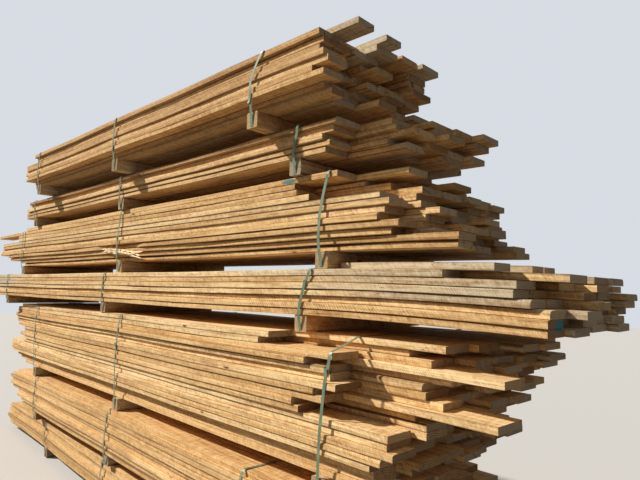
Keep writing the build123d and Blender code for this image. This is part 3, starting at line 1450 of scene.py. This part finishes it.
@dataclass(frozen=True)
class WoodFigure:
    """The figure of sawn wood, as a node group that every timber finish places.

    Attributes:
        name: Name of the group.
        bend_scale: Waves to a metre of the slow bends in the grain.
        bend_depth: How far they go each way, in metres.
        ring_power: How late in a ring it darkens.
        ring_edge: Where in a ring its dark part ends.
        fine: The shortest fibres.
        streak: The long streaks.
        fine_share: Share of the fine fibres in the fibre mask.
        knot_scale: Places for knots to a metre each way.
        knot_rim: Distances from its middle over which a knot ends, as shares of its place.
        knot_choice: Values of a place from which it has a knot.
        slant: How the saw marks wander.
        lean: How far the saw marks lean.
        wander: How far the marks wander, in turns of the wave.
        rough_cut: The roughness between the marks.
        run: Where the marks are regular.
        run_step: Values from which they are.
        bars: The uneven marks.
        saw_shares: Share of the regular marks, the uneven ones and the roughness.
        ripple_wander: How far the ripples of a coarse saw wander.
        ripple_pitch: How close they are, as a share of the saw marks.
        mottle: Mottling a few centimetres long.
        blotch: Slow blotches.
        speck: Dark specks.
        speck_step: Values from which one shows.
    """

    name: str = "wood_figure"
    bend_scale: Triple = (0.9, 6.0, 6.0)
    bend_depth: Triple = (0.0, 0.03, 0.03)
    ring_power: float = 2.2
    ring_edge: Pair = (0.9, 1.0)
    fine: Noise = Noise((14.0, 900.0, 900.0), 4.0, 0.6)
    streak: Noise = Noise((1.6, 95.0, 95.0), 4.0, 0.65)
    fine_share: float = 0.4
    knot_scale: Triple = (2.2, 9.0, 9.0)
    knot_rim: Pair = (0.035, 0.075)
    knot_choice: Pair = (0.55, 0.6)
    slant: Noise = Noise((5.0, 5.0, 5.0), 1.0, 0.5)
    lean: float = 0.8
    wander: float = 14.0
    rough_cut: Noise = Noise((230.0, 9.0, 22.0), 2.0, 0.5)
    run: Noise = Noise((0.7, 3.0, 3.0), 1.0, 0.5)
    run_step: Pair = (0.42, 0.6)
    bars: Noise = Noise((85.0, 9.0, 18.0), 4.0, 0.65)
    saw_shares: Triple = (0.16, 0.55, 0.25)
    ripple_wander: float = 16.0
    ripple_pitch: float = 0.7
    mottle: Noise = Noise((17.0, 60.0, 60.0), 5.0, 0.7)
    blotch: Noise = Noise((1.5, 11.0, 11.0), 4.0, 0.65)
    speck: Noise = Noise((48.0, 110.0, 110.0), 2.0, 0.5)
    speck_step: Pair = (0.67, 0.74)

    def build(self) -> bpy.types.NodeTree:
        """Builds the group, once.

        Its inputs are the grain vector, along the board and then out from the pith, the number
        of rings to a metre and the number of saw marks to a metre. Its outputs are masks from 0
        to 1.

        Returns:
            The group.
        """
        found = bpy.data.node_groups.get(self.name)
        if found:
            return found
        outputs = ("Ring", "Fibre", "Knot", "Saw", "Ripple", "Mottle", "Blotch", "Speck")
        s = Shader.group(self.name, {"Grain": "Vector", "Rings": "Float", "Marks": "Float"}, outputs)
        given = s.add("NodeGroupInput").outputs
        grain = given["Grain"]
        warp = s.add(
            "ShaderNodeTexNoise",
            {"Vector": s.stretch(grain, self.bend_scale), "Scale": 1.0, "Detail": 2.0},
        )
        bent = s.vector("ADD", grain, s.stretch(warp.outputs["Color"], self.bend_depth))
        masks = {"Ring": self.rings(s, bent, given["Rings"]), "Fibre": self.fibre(s, grain, bent)}
        masks["Knot"] = self.knots(s, bent)
        masks["Saw"], masks["Ripple"] = self.saw_marks(s, grain, given["Marks"])
        masks["Mottle"] = s.streaks(grain, self.mottle)
        masks["Blotch"] = s.streaks(grain, self.blotch)
        masks["Speck"] = s.ramp(s.streaks(grain, self.speck), *self.speck_step)
        s.add("NodeGroupOutput", masks)
        return s.tree

    def rings(self, s: Shader, bent: Socket, rings: Socket) -> Socket:
        """The shade of the yearly rings, which darkens outwards and ends in a sharp line.

        Args:
            s: The group's nodes.
            bent: The grain vector with its slow bends.
            rings: Number of rings to a metre.

        Returns:
            The mask.
        """
        _, across, up = s.split(bent)
        square = s.math("POWER", across, 2.0)
        radius = s.math("SQRT", s.plus(square, s.math("POWER", up, 2.0)))
        phase = s.math("FRACT", s.times(radius, rings))
        return s.times(s.math("POWER", phase, self.ring_power), s.fall(phase, *self.ring_edge))

    def fibre(self, s: Shader, grain: Socket, bent: Socket) -> Socket:
        """Fine fibres over long streaks.

        Args:
            s: The group's nodes.
            grain: The grain vector.
            bent: The same with its slow bends.

        Returns:
            The mask.
        """
        fine = s.times(s.streaks(grain, self.fine), self.fine_share)
        return s.plus(fine, s.times(s.streaks(bent, self.streak), 1 - self.fine_share))

    def knots(self, s: Shader, bent: Socket) -> Socket:
        """A knot in some of the places for one.

        Args:
            s: The group's nodes.
            bent: The grain vector with its slow bends.

        Returns:
            The mask.
        """
        cells = s.add(
            "ShaderNodeTexVoronoi",
            {"Vector": s.stretch(bent, self.knot_scale), "Scale": 1.0, "Randomness": 1.0},
        ).outputs
        value = s.add("ShaderNodeSeparateColor", {0: cells["Color"]}).outputs[0]
        chosen = s.ramp(value, *self.knot_choice)
        return s.times(s.fall(cells["Distance"], *self.knot_rim), chosen)

    def saw_marks(self, s: Shader, grain: Socket, marks: Socket) -> tuple[Socket, Socket]:
        """The marks that a saw leaves, slanting over the face.

        Args:
            s: The group's nodes.
            grain: The grain vector.
            marks: Number of marks to a metre.

        Returns:
            The mask of a fine saw's marks, and that of a coarse saw's ripples.
        """
        x, across, up = s.split(grain)
        slant = s.streaks(grain, self.slant)
        lean = s.plus(x, s.times(up, self.lean))
        turn = s.times(s.times(lean, marks), math.tau)
        wave = s.crest(s.plus(turn, s.times(slant, self.wander)))
        rough_cut = s.streaks(grain, self.rough_cut)
        run = s.ramp(s.streaks(grain, self.run), *self.run_step)
        bars = s.streaks(s.join(lean, across, up), self.bars)
        regular, uneven, rough = self.saw_shares
        saw = s.plus(s.times(wave, s.times(run, regular)), s.times(bars, uneven))
        saw = s.plus(saw, s.times(rough_cut, rough))
        slow = s.times(s.plus(turn, s.times(slant, self.ripple_wander)), self.ripple_pitch)
        return saw, s.crest(slow)


@dataclass(frozen=True)
class PaintDaub:
    """A daub of marking paint with a ragged edge, as a node group that the timber finishes place.

    Attributes:
        name: Name of the group.
        ragged_scale: Waves to a metre of its ragged edge.
        ragged_depth: How deep those are, as a share of its reach.
        rim: Distances from its middle over which it ends, as shares of its reach.
        cover: How much of the wood it hides.
    """

    name: str = "paint_daub"
    ragged_scale: float = 60.0
    ragged_depth: float = 0.7
    rim: Pair = (1.15, 1.45)
    cover: float = 0.85

    def build(self) -> bpy.types.NodeTree:
        """Builds the group, once.

        Its inputs are the point, the daub's middle, and one over its reach each way. Its output
        is a mask from 0 to 1.

        Returns:
            The group.
        """
        found = bpy.data.node_groups.get(self.name)
        if found:
            return found
        s = Shader.group(
            self.name, {"Point": "Vector", "Middle": "Vector", "Closeness": "Vector"}, ("Cover",)
        )
        given = s.add("NodeGroupInput").outputs
        away = s.vector("SUBTRACT", given["Point"], given["Middle"])
        scaled = s.stretch(away, given["Closeness"])
        length = s.add("ShaderNodeVectorMath", {0: scaled}, operation="LENGTH").outputs["Value"]
        ragged = s.times(s.noise(given["Point"], self.ragged_scale), self.ragged_depth)
        cover = s.times(s.fall(s.plus(length, ragged), *self.rim), self.cover)
        s.add("NodeGroupOutput", {"Cover": cover})
        return s.tree


@dataclass(frozen=True)
class PaintMark:
    """A daub of marking paint, where the yard marked a board.

    Attributes:
        place: Its middle, in metres.
        reach: How far it goes each way.
    """

    place: Triple
    reach: Triple

    def over(self, s: Shader, base: Socket, color: Color) -> Socket:
        """Paints over a material's base colour.

        Args:
            s: The material's nodes.
            base: Its base colour so far.
            color: The paint's colour.

        Returns:
            The new base colour.
        """
        point = s.add("ShaderNodeTexCoord").outputs["Object"]
        closeness = tuple(1 / side for side in self.reach)
        inputs = {"Point": point, "Middle": self.place, "Closeness": closeness}
        daub = s.add("ShaderNodeGroup", inputs, node_tree=PaintDaub().build())
        return s.mix(daub.outputs["Cover"], base, color)


@dataclass(frozen=True)
class SawnTimber:
    """The long faces of rough-sawn softwood: honey where fresh, grey where it has weathered.

    Attributes:
        name: Name of the material.
        pale: Colour of the palest boards.
        honey: Colour of most boards.
        brown: Colour of the darkest boards.
        late: Colour of the dark part of a ring.
        grey: Colour that weather brings.
        knot: Colour of a knot.
        dirt_and_seam_shade: Colour of specks and stains, and of the grime and painted shade in a seam.
        paint: Colour of the marking paint.
        rings: Number of rings to a metre.
        marks: Number of saw marks to a metre.
        honey_step: Tones over which pale turns to honey.
        brown_step: Tones over which honey turns to brown.
        blotch_step: Values over which a blotch turns brown.
        brown_cover: How much brown hides.
        ring_cover: How much the dark part of a ring hides.
        grey_cover: How much grey hides.
        grey_reach: How far in from an end the grey goes on the greyest board, in metres.
        grey_ragged: How ragged its limit is, in metres.
        grey_least: Least that it goes in, in metres.
        grey_rim: Shares of its reach over which it fades.
        grey_shows: Range of a board's grey over which it comes in.
        stain_step: Values over which a blotch is a stain.
        stained: Range of a board's own number over which it has stains.
        covers: How much a stain, a knot and a speck hide.
        seam_power: How close to its edges a board has grime and painted shade.
        seam_least: Least grime and painted shade there, and how much less a board has than its own
            number.
        seam_cover: How much that grime and painted shade hide.
        shading: How much each mask lightens or darkens the face, after the mask's middle value: the
            mottle and the fibres as the wood's own tone, the saw marks partly as their own tone and
            partly as painted shading of their relief.
        ripple_painted_shade: How much the ripples lighten and darken the face, as painted shading of
            their relief.
        ripple_fade: Distances from an end over which the ripples come in, in metres.
        light_range: Least and most that they all make of the base colour.
        warmth: Power of that for red and for blue, so that dark places look warmer.
        roughness: How matt the sawn face is, and how much of it the fibre changes.
        specular: How much it shines.
        bump: Strength of its relief.
        relief: Depth of the grain and of the saw marks, in metres.
    """

    name: str = "rough_sawn_face"
    pale: Color = (0.88, 0.615, 0.305)
    honey: Color = (0.76, 0.475, 0.200)
    brown: Color = (0.47, 0.262, 0.098)
    late: Color = (0.34, 0.155, 0.052)
    grey: Color = (0.50, 0.405, 0.270)
    knot: Color = (0.10, 0.045, 0.02)
    dirt_and_seam_shade: Color = (0.085, 0.048, 0.024)
    paint: Color = (0.03, 0.19, 0.22)
    rings: float = 190.0
    marks: float = 84.0
    honey_step: Pair = (0.0, 0.6)
    brown_step: Pair = (0.75, 1.0)
    blotch_step: Pair = (0.5, 0.72)
    brown_cover: float = 0.7
    ring_cover: float = 0.35
    grey_cover: float = 0.8
    grey_reach: float = 2.4
    grey_ragged: float = 3.0
    grey_least: float = 0.02
    grey_rim: Pair = (0.1, 1.3)
    grey_shows: Pair = (0.0, 0.1)
    stain_step: Pair = (0.62, 0.76)
    stained: Pair = (0.4, 0.9)
    covers: Triple = (0.55, 0.9, 0.65)
    seam_power: float = 6.0
    seam_least: Pair = (0.14, 0.3)
    seam_cover: float = 1.3
    shading: tuple[tuple[str, float, float], ...] = (
        ("Mottle", 0.5, 1.5), ("Fibre", 0.5, 3.3), ("Saw", 0.4, 2.6),
    )
    ripple_painted_shade: float = 0.5
    ripple_fade: Pair = (0.3, 1.0)
    light_range: Pair = (0.26, 1.5)
    warmth: Pair = (0.7, 1.35)
    roughness: Pair = (0.82, 0.2)
    specular: float = 0.25
    bump: float = 0.7
    relief: float = 0.0016

    def build(self, paint_marks: tuple[PaintMark, ...] = ()) -> bpy.types.Material:
        """Builds the material.

        Args:
            paint_marks: Daubs of paint to lay over it.

        Returns:
            The material.
        """
        s = Shader.material(self.name)
        tone, grey, odd = s.channels("look")
        reach, edge, ripple = s.channels("wear")
        out = s.figure(s.attribute("grain"), self.rings, self.marks).outputs
        base = s.mix(s.ramp(tone, *self.honey_step), self.pale, self.honey)
        base = s.coat(base, self.brown, s.ramp(tone, *self.brown_step), self.brown_cover)
        base = s.coat(base, self.brown, s.ramp(out["Blotch"], *self.blotch_step), self.brown_cover)
        base = s.coat(base, self.late, out["Ring"], self.ring_cover)
        weathered = self.weathered(s, reach, grey, out["Blotch"])
        base = s.coat(base, self.grey, weathered, self.grey_cover)
        # The coarse saw's ripples, used for relief and for painted shading of that relief in the colour.
        waves = s.times(s.minus(out["Ripple"], 0.5), ripple)
        waves = s.times(waves, s.ramp(reach, *self.ripple_fade))
        base = s.stretch(base, self.shade(s, out, waves))
        stain = s.times(s.ramp(out["Blotch"], *self.stain_step), s.ramp(odd, *self.stained))
        stain_cover, knot_cover, speck_cover = self.covers
        base = s.coat(base, self.dirt_and_seam_shade, stain, stain_cover)
        base = s.coat(base, self.knot, out["Knot"], knot_cover)
        base = s.coat(base, self.dirt_and_seam_shade, out["Speck"], speck_cover)
        # Grime and painted shade in the seams: the colour darkens close to each board's edges, where the
        # boards meet.
        least, less = self.seam_least
        worn = s.math("MAXIMUM", s.minus(odd, less), least)
        seam = s.times(s.math("POWER", edge, self.seam_power), worn)
        base = s.mix(s.times(seam, self.seam_cover, clamp=True), base, self.dirt_and_seam_shade)
        for mark in paint_marks:
            base = mark.over(s, base, self.paint)
        roughness, change = self.roughness
        rough = s.plus(s.times(out["Fibre"], change), roughness - change / 2)
        height = s.plus(s.times(out["Fibre"], 0.5), s.times(out["Mottle"], 0.5))
        height = s.plus(s.plus(height, out["Saw"]), waves)
        s.surface(base, rough, self.specular, s.bump(height, self.bump, self.relief))
        return s.owner

    def weathered(self, s: Shader, reach: Socket, grey: Socket, blotch: Socket) -> Socket:
        """Where a board has gone grey: from its ends inwards, with a ragged limit.

        Args:
            s: The material's nodes.
            reach: Distance from the board's end.
            grey: The board's grey, from 0 to 1.
            blotch: Slow blotches, which make the limit ragged.

        Returns:
            A mask from 0 to 1.
        """
        spread = s.math("MAXIMUM", s.times(grey, self.grey_reach), self.grey_least)
        ragged = s.plus(reach, s.times(s.minus(blotch, 0.5), self.grey_ragged))
        mask = s.fall(s.math("DIVIDE", ragged, spread), *self.grey_rim)
        return s.times(mask, s.ramp(grey, *self.grey_shows))

    def shade(self, s: Shader, out: bpy.types.bpy_prop_collection, waves: Socket) -> Socket:
        """How much lighter or darker the figure makes the face, with painted shading of the saw marks'
        and the ripples' relief.

        Args:
            s: The material's nodes.
            out: The figure's masks.
            waves: The ripples, whose relief this shades in the colour as painted shading.

        Returns:
            A factor for each colour channel.
        """
        light = 1.0
        for name, middle, depth in self.shading:
            light = s.plus(light, s.times(s.minus(out[name], middle), depth))
        # Painted shading of the ripples' relief.
        light = s.plus(light, s.times(waves, self.ripple_painted_shade))
        least, most = self.light_range
        light = s.math("MINIMUM", s.math("MAXIMUM", light, least), most)
        red, blue = (s.math("POWER", light, power) for power in self.warmth)
        return s.join(red, light, blue)


@dataclass(frozen=True)
class EndGrain:
    """The sawn ends: rings in section, drying checks, and the grey that rain leaves there.

    Attributes:
        name: Name of the material.
        early: Colour of the pale part of a ring on the freshest ends.
        deep: The same on the darkest ends.
        late: Colour of the dark part of a ring.
        grey: Colour of a weathered end.
        check_shade: Painted shade inside a drying check.
        paint: Colour of the marking paint.
        rings: Number of rings to a metre.
        tone_mix: Factor that gives ends a tone unlike their board's.
        tone_step: Tones over which the freshest turns to the darkest.
        pores: Scale, detail and roughness of the pores.
        pore_step: Values over which a pore shows.
        patch: The same of the patches.
        patch_step: Values over which a patch shows.
        grey_step: Values of a patch over which it may go grey.
        greyed: Range of a board's own number over which its ends go grey.
        dulled: Range of its grey over which they do so too.
        checked: The same for drying checks.
        covers: How much a pore, a patch, the grey, a ring and the painted shade in a check hide.
        rays: How close the drying checks stand round the pith.
        check_noise: Scale and detail of the noise whose middle value they follow.
        check_width: How wide they are, in values of it.
        roughness: How matt an end is.
        specular: How much it shines.
        bump: Strength of its relief.
        relief: Depth of the pores and of the checks, in metres.
    """

    name: str = "end_grain"
    early: Color = (0.82, 0.57, 0.30)
    deep: Color = (0.33, 0.20, 0.10)
    late: Color = (0.10, 0.058, 0.028)
    grey: Color = (0.54, 0.47, 0.35)
    check_shade: Color = (0.02, 0.013, 0.008)
    paint: Color = (0.03, 0.22, 0.26)
    rings: float = 105.0
    tone_mix: float = 7.3
    tone_step: Pair = (0.1, 0.9)
    pores: Triple = (420.0, 3.0, 0.65)
    pore_step: Pair = (0.42, 0.7)
    patch: Triple = (34.0, 3.0, 0.6)
    patch_step: Pair = (0.45, 0.72)
    grey_step: Pair = (0.25, 0.5)
    greyed: Pair = (0.25, 0.85)
    dulled: Pair = (0.0, 0.4)
    checked: Pair = (0.35, 0.6)
    covers: tuple[float, ...] = (0.5, 0.45, 0.8, 0.9, 0.8)
    rays: float = 3.5
    check_noise: Pair = (1.8, 1.0)
    check_width: Pair = (0.003, 0.012)
    roughness: float = 0.9
    specular: float = 0.2
    bump: float = 0.7
    relief: float = 0.001

    def build(self, paint_marks: tuple[PaintMark, ...] = ()) -> bpy.types.Material:
        """Builds the material.

        Args:
            paint_marks: Daubs of paint to lay over it.

        Returns:
            The material.
        """
        s = Shader.material(self.name)
        tone, grey, odd = s.channels("look")
        grain = s.attribute("grain")
        ring = s.figure(grain, self.rings, 0.0).outputs["Ring"]
        pores = s.noise(grain, *self.pores)
        patch = s.noise(grain, *self.patch)
        tone = s.math("FRACT", s.times(tone, self.tone_mix))
        pore_cover, patch_cover, grey_cover, ring_cover, check_cover = self.covers
        base = s.mix(s.ramp(tone, *self.tone_step), self.early, self.deep)
        base = s.coat(base, self.late, s.ramp(pores, *self.pore_step), pore_cover)
        base = s.coat(base, self.late, s.ramp(patch, *self.patch_step), patch_cover)
        dull = s.times(s.ramp(odd, *self.greyed), s.ramp(patch, *self.grey_step))
        dull = s.math("MAXIMUM", dull, s.ramp(grey, *self.dulled))
        base = s.coat(base, self.grey, dull, grey_cover)
        base = s.coat(base, self.late, ring, ring_cover)
        check = s.times(self.checks(s, grain), s.ramp(odd, *self.checked))
        # Painted shade inside the drying checks.
        base = s.coat(base, self.check_shade, check, check_cover)
        for mark in paint_marks:
            base = mark.over(s, base, self.paint)
        height = s.minus(s.times(pores, 0.5), check)
        s.surface(base, self.roughness, self.specular, s.bump(height, self.bump, self.relief))
        return s.owner

    def checks(self, s: Shader, grain: Socket) -> Socket:
        """Drying checks, which run out from the pith.

        Args:
            s: The material's nodes.
            grain: The grain vector.

        Returns:
            A mask from 0 to 1.
        """
        x, across, up = s.split(grain)
        ray = s.join(s.times(s.math("ARCTAN2", up, across), self.rays), x)
        width = s.math("ABSOLUTE", s.minus(s.noise(ray, *self.check_noise), 0.5))
        return s.fall(width, *self.check_width)


@dataclass(frozen=True)
class StrapPlastic:
    """Green polyester strapping: an embossed, half-glossy band that has dulled outdoors.

    Attributes:
        name: Name of the material.
        green: Colour of the clean band.
        dull: Colour where it is scuffed or dusty.
        dust: Scale, detail and roughness of the dusty places.
        dust_step: Values over which one shows.
        scuff: The scuffs.
        scuff_step: Values over which one shows.
        scuff_cover: How much a scuff hides.
        weave: Number of embossed dots to a metre.
        roughness: How matt the band is, and how much of it the dust changes.
        specular: How much it shines.
        bump: Strength of the embossing.
        relief: Depth of the embossing, in metres.
    """

    name: str = "green_strapping"
    green: Color = (0.12, 0.205, 0.125)
    dull: Color = (0.27, 0.335, 0.235)
    dust: Triple = (9.0, 4.0, 0.6)
    dust_step: Pair = (0.35, 0.75)
    scuff: Noise = Noise((900.0, 900.0, 60.0), 3.0, 0.6)
    scuff_step: Pair = (0.55, 0.75)
    scuff_cover: float = 0.5
    weave: float = 600.0
    roughness: Pair = (0.44, 0.2)
    specular: float = 0.5
    bump: float = 0.25
    relief: float = 0.0003

    def build(self) -> bpy.types.Material:
        """Builds the material.

        Returns:
            The material.
        """
        s = Shader.material(self.name)
        point = s.add("ShaderNodeTexCoord").outputs["Object"]
        dust = s.noise(point, *self.dust)
        scuff = s.streaks(point, self.scuff)
        dots = s.add("ShaderNodeTexVoronoi", {"Vector": point, "Scale": self.weave}, distance="CHEBYCHEV")
        base = s.mix(s.ramp(dust, *self.dust_step), self.green, self.dull)
        base = s.coat(base, self.dull, s.ramp(scuff, *self.scuff_step), self.scuff_cover)
        roughness, change = self.roughness
        rough = s.plus(s.times(dust, change), roughness - change / 2)
        bump = s.bump(dots.outputs["Distance"], self.bump, self.relief)
        s.surface(base, rough, self.specular, bump)
        return s.owner


@dataclass(frozen=True)
class View:
    """The photograph's camera, worked out from its vanishing points.

    Attributes:
        place: The lens, in the part's frame, in metres.
        yaw: Turn from looking along +Y, positive to the right, in degrees.
        pitch: Tilt above the horizon, in degrees.
        roll: Turn of the picture about its middle, in degrees.
        focal: Focal length in pixels.
        picture: Width of the picture in pixels.
        sensor: Width of the sensor, in millimetres.
        clip: Nearest and farthest distance that shows, in metres.
    """

    place: Triple
    yaw: float = -43.937
    pitch: float = 5.357
    roll: float = 1.153
    focal: float = 532.458
    picture: float = 640.0
    sensor: float = 36.0
    clip: Pair = (0.05, 200.0)

    def build(self) -> None:
        """Makes the camera."""
        yaw, pitch, roll = (math.radians(angle) for angle in (self.yaw, self.pitch, self.roll))
        forward = Vector(
            (math.sin(yaw) * math.cos(pitch), math.cos(yaw) * math.cos(pitch), math.sin(pitch))
        )
        right = forward.cross(Vector(UP)).normalized()
        above = right.cross(forward)
        side = math.cos(roll) * right + math.sin(roll) * above
        top = math.cos(roll) * above - math.sin(roll) * right
        data = bpy.data.cameras.new("photo_camera")
        data.sensor_width = self.sensor
        data.lens = self.focal * self.sensor / self.picture
        data.clip_start, data.clip_end = self.clip
        camera = bpy.data.objects.new("photo_camera", data)
        bpy.context.scene.collection.objects.link(camera)
        turn = Matrix((side, top, -forward)).transposed().to_4x4()
        camera.matrix_world = Matrix.Translation(Vector(self.place)) @ turn
        bpy.context.scene.camera = camera


@dataclass(frozen=True)
class Studio:
    """A plain pale floor under plain light from the left front.

    Attributes:
        floor_size: Side of the floor.
        floor_color: Colour that the floor shows to the camera.
        floor_bounce: Colour that it throws back on the timber.
        floor_roughness: How matt the floor is.
        backdrop: Colour that shows behind the timber.
        soft: Colour of the soft light.
        ambient: Strength of the soft light.
        key: Strength of the sun lamp.
        key_color: Colour of the sun lamp.
        key_from: Where it shines from.
        key_spread: How wide it looks, in degrees.
    """

    floor_size: float = 60.0
    floor_color: Color = (0.66, 0.655, 0.645)
    floor_bounce: Color = (0.17, 0.15, 0.125)
    floor_roughness: float = 0.9
    backdrop: Color = (0.68, 0.72, 0.77)
    soft: Color = (1.0, 0.97, 0.93)
    ambient: float = 0.19
    key: float = 4.55
    key_color: Color = (1.0, 0.945, 0.86)
    key_from: Triple = (-1.35, -1.0, 1.25)
    key_spread: float = 2.0

    def build(self) -> None:
        """Makes the floor, the lamps and the world."""
        scene = bpy.context.scene
        scene.view_settings.view_transform = "Standard"
        half = self.floor_size / 2
        mesh = bpy.data.meshes.new("studio_floor")
        corners = [(-half, -half, 0.0), (half, -half, 0.0), (half, half, 0.0), (-half, half, 0.0)]
        mesh.from_pydata(corners, [], [(0, 1, 2, 3)])
        s = Shader.material("studio_floor")
        color = s.mix(self.seen(s), self.floor_bounce, self.floor_color)
        bsdf = s.add("ShaderNodeBsdfPrincipled", {"Base Color": color, "Roughness": self.floor_roughness})
        s.add("ShaderNodeOutputMaterial", {"Surface": bsdf.outputs[0]})
        mesh.materials.append(s.owner)
        floor = bpy.data.objects.new("studio_floor", mesh)
        scene.collection.objects.link(floor)
        self.key_light()
        self.world()

    def seen(self, s: Shader) -> Socket:
        """Tells the rays that show the background from those that light the timber.

        Args:
            s: The nodes to work on.

        Returns:
            1 for the first kind and 0 for the second.
        """
        path = s.add("ShaderNodeLightPath")
        both = s.plus(path.outputs["Is Camera Ray"], path.outputs["Is Glossy Ray"])
        return s.plus(both, path.outputs["Is Transmission Ray"], clamp=True)

    def key_light(self) -> None:
        """Adds the sun lamp."""
        data = bpy.data.lights.new("sun_from_left", "SUN")
        data.energy = self.key
        data.angle = math.radians(self.key_spread)
        data.color = self.key_color
        lamp = bpy.data.objects.new("sun_from_left", data)
        turn = Vector(self.key_from).to_track_quat("Z", "Y")
        lamp.matrix_world = turn.to_matrix().to_4x4()
        bpy.context.scene.collection.objects.link(lamp)

    def world(self) -> None:
        """Makes a pale surround: one strength to light the timber, another for the camera."""
        world = bpy.data.worlds.new("studio_surround")
        bpy.context.scene.world = world
        world.use_nodes = True
        world.node_tree.nodes.clear()
        s = Shader(world.node_tree)
        seen = self.seen(s)
        soft = s.add("ShaderNodeBackground", {"Color": (*self.soft, 1.0), "Strength": self.ambient})
        pale = s.add("ShaderNodeBackground", {"Color": (*self.backdrop, 1.0), "Strength": 1.0})
        both = s.add("ShaderNodeMixShader", {0: seen, 1: soft.outputs[0], 2: pale.outputs[0]})
        s.add("ShaderNodeOutputWorld", {"Surface": both.outputs[0]})


TORN_EDGE = TornEdge("bundle_5", left=-0.36, right=0.24, near=-0.548, height=1.962)
PILES = (
    BoardPile(
        "bundle_1",
        Droop(0.016, 0.014),
        seed=5,
        weather=0.03,
        inset=(0.0, 0.002, 0.004, 0.002, 0.0, 0.006, 0.002, 0.008),
        open_above=(3, 5, 6),
        tone=(0.2, 1.0),
    ),
    BoardPile(
        "bundle_2",
        Droop(0.016, 0.014),
        seed=6,
        weather=0.03,
        inset=(0.004, 0.0, 0.002, 0.003, 0.0, 0.004, 0.008, 0.0, 0.012, 0.006),
        open_above=(6, 8, 9),
        tone=(0.2, 1.0),
    ),
    BoardPile(
        "bundle_3",
        Droop(0.016, 0.016),
        seed=7,
        weather=0.05,
        inset=(
            0.004, 0.0, 0.006, 0.002, 0.0, 0.016, 0.0, 0.001, 0.006, 0.002,
            0.0, 0.022, 0.018, 0.002, 0.006, 0.0, 0.034, 0.045, 0.04,
        ),
        open_above=(1, 4, 6, 8, 13, 15),
        tone=(0.0, 0.9),
    ),
    BoardPile(
        "bundle_4",
        Droop(0.012, 0.026),
        seed=8,
        weather=0.16,
        inset=(0.004, 0.0, 0.002, 0.0, 0.018, 0.0, 0.008),
        open_above=(2, 6),
        rippled=(5,),
        greyed=(0, 1, 2, 3),
        tone=(0.0, 0.7),
    ),
    BoardPile(
        "bundle_5",
        Droop(0.012, 0.016),
        seed=9,
        weather=0.06,
        inset=(0.004, 0.008, 0.007, 0.008, 0.003, 0.004, 0.014, 0.0, 0.004, 0.03, 0.045, 0.04),
        open_above=(1, 4, 7, 8, 10),
        rippled=(0,),
        tone=(0.1, 0.95),
        torn=TORN_EDGE,
    ),
    BoardPile(
        "bundle_6",
        Droop(0.008, 0.012),
        seed=10,
        weather=0.06,
        inset=(0.002, 0.004, 0.0, 0.014, 0.008),
        open_above=(3, 4),
        rippled=(1,),
        tone=(0.2, 1.0),
    ),
    BoardPile(
        "bundle_7",
        Droop(0.008, 0.012),
        seed=11,
        weather=0.10,
        inset=(0.004, 0.008, 0.003, 0.010, 0.006, 0.010, 0.0, 0.06, 0.07),
        open_above=(1, 2, 6),
        tone=(0.45, 1.0),
    ),
)
STRAPS = (
    StrapSet("bundle_1", ((0.02, 0.3), (0.03, 0.3), (0.04, 0.3))),
    StrapSet("bundle_2", ((0.02, 0.3), (0.02, 0.3), (0.05, 0.3))),
    StrapSet("bundle_3", ((0.03, 0.2), (0.05, 0.1), (0.09, 0.0))),
    StrapSet("bundle_4", ((0.02, 0.4), (0.04, 0.4), (0.08, 0.3))),
    StrapSet("bundle_5", ((0.02, 0.5), (0.04, 0.4), (0.05, 0.5))),
    StrapSet("bundle_6", ((0.02, 0.3), (0.03, 0.3), (0.05, 0.4))),
    StrapSet("bundle_7", ((0.03, 0.5), (0.02, 0.5), (0.09, 0.6))),
)
PAINT_MARKS = (
    PaintMark((1.84, -0.55, 2.232), (0.055, 0.03, 0.014)),
    PaintMark((3.165, -0.440, 1.560), (0.04, 0.05, 0.022)),
)
BEARER_FACE = SawnTimber(
    name="bearer_face",
    pale=(0.70, 0.43, 0.19),
    honey=(0.55, 0.31, 0.115),
    brown=(0.33, 0.165, 0.062),
    marks=60.0,
)
BEARER_END = EndGrain(name="bearer_end", deep=(0.55, 0.33, 0.145))
TORN_WOOD = SawnTimber(
    name="torn_wood",
    pale=(1.0, 0.82, 0.52),
    honey=(1.0, 0.80, 0.48),
    brown=(0.75, 0.55, 0.30),
    late=(0.80, 0.56, 0.30),
)
CAMERA = View(place=(3.8691, -2.4100, 1.6702))


def main() -> None:
    """Builds every bundle, then the camera and the studio."""
    logging.basicConfig(level=logging.INFO, format="%(name)s: %(message)s")
    board_finishes = [SawnTimber().build(PAINT_MARKS), EndGrain().build(PAINT_MARKS)]
    bearer_finishes = [BEARER_FACE.build(), BEARER_END.build()]
    plastic = StrapPlastic().build()
    for pile in PILES:
        pile.build(board_finishes)
        BearerSet(pile.bundle, pile.seed).build(bearer_finishes)
    TORN_EDGE.build(TORN_WOOD.build())
    for straps in STRAPS:
        straps.build(plastic)
    CAMERA.build()
    Studio().build()


if __name__ == "__main__":
    main()
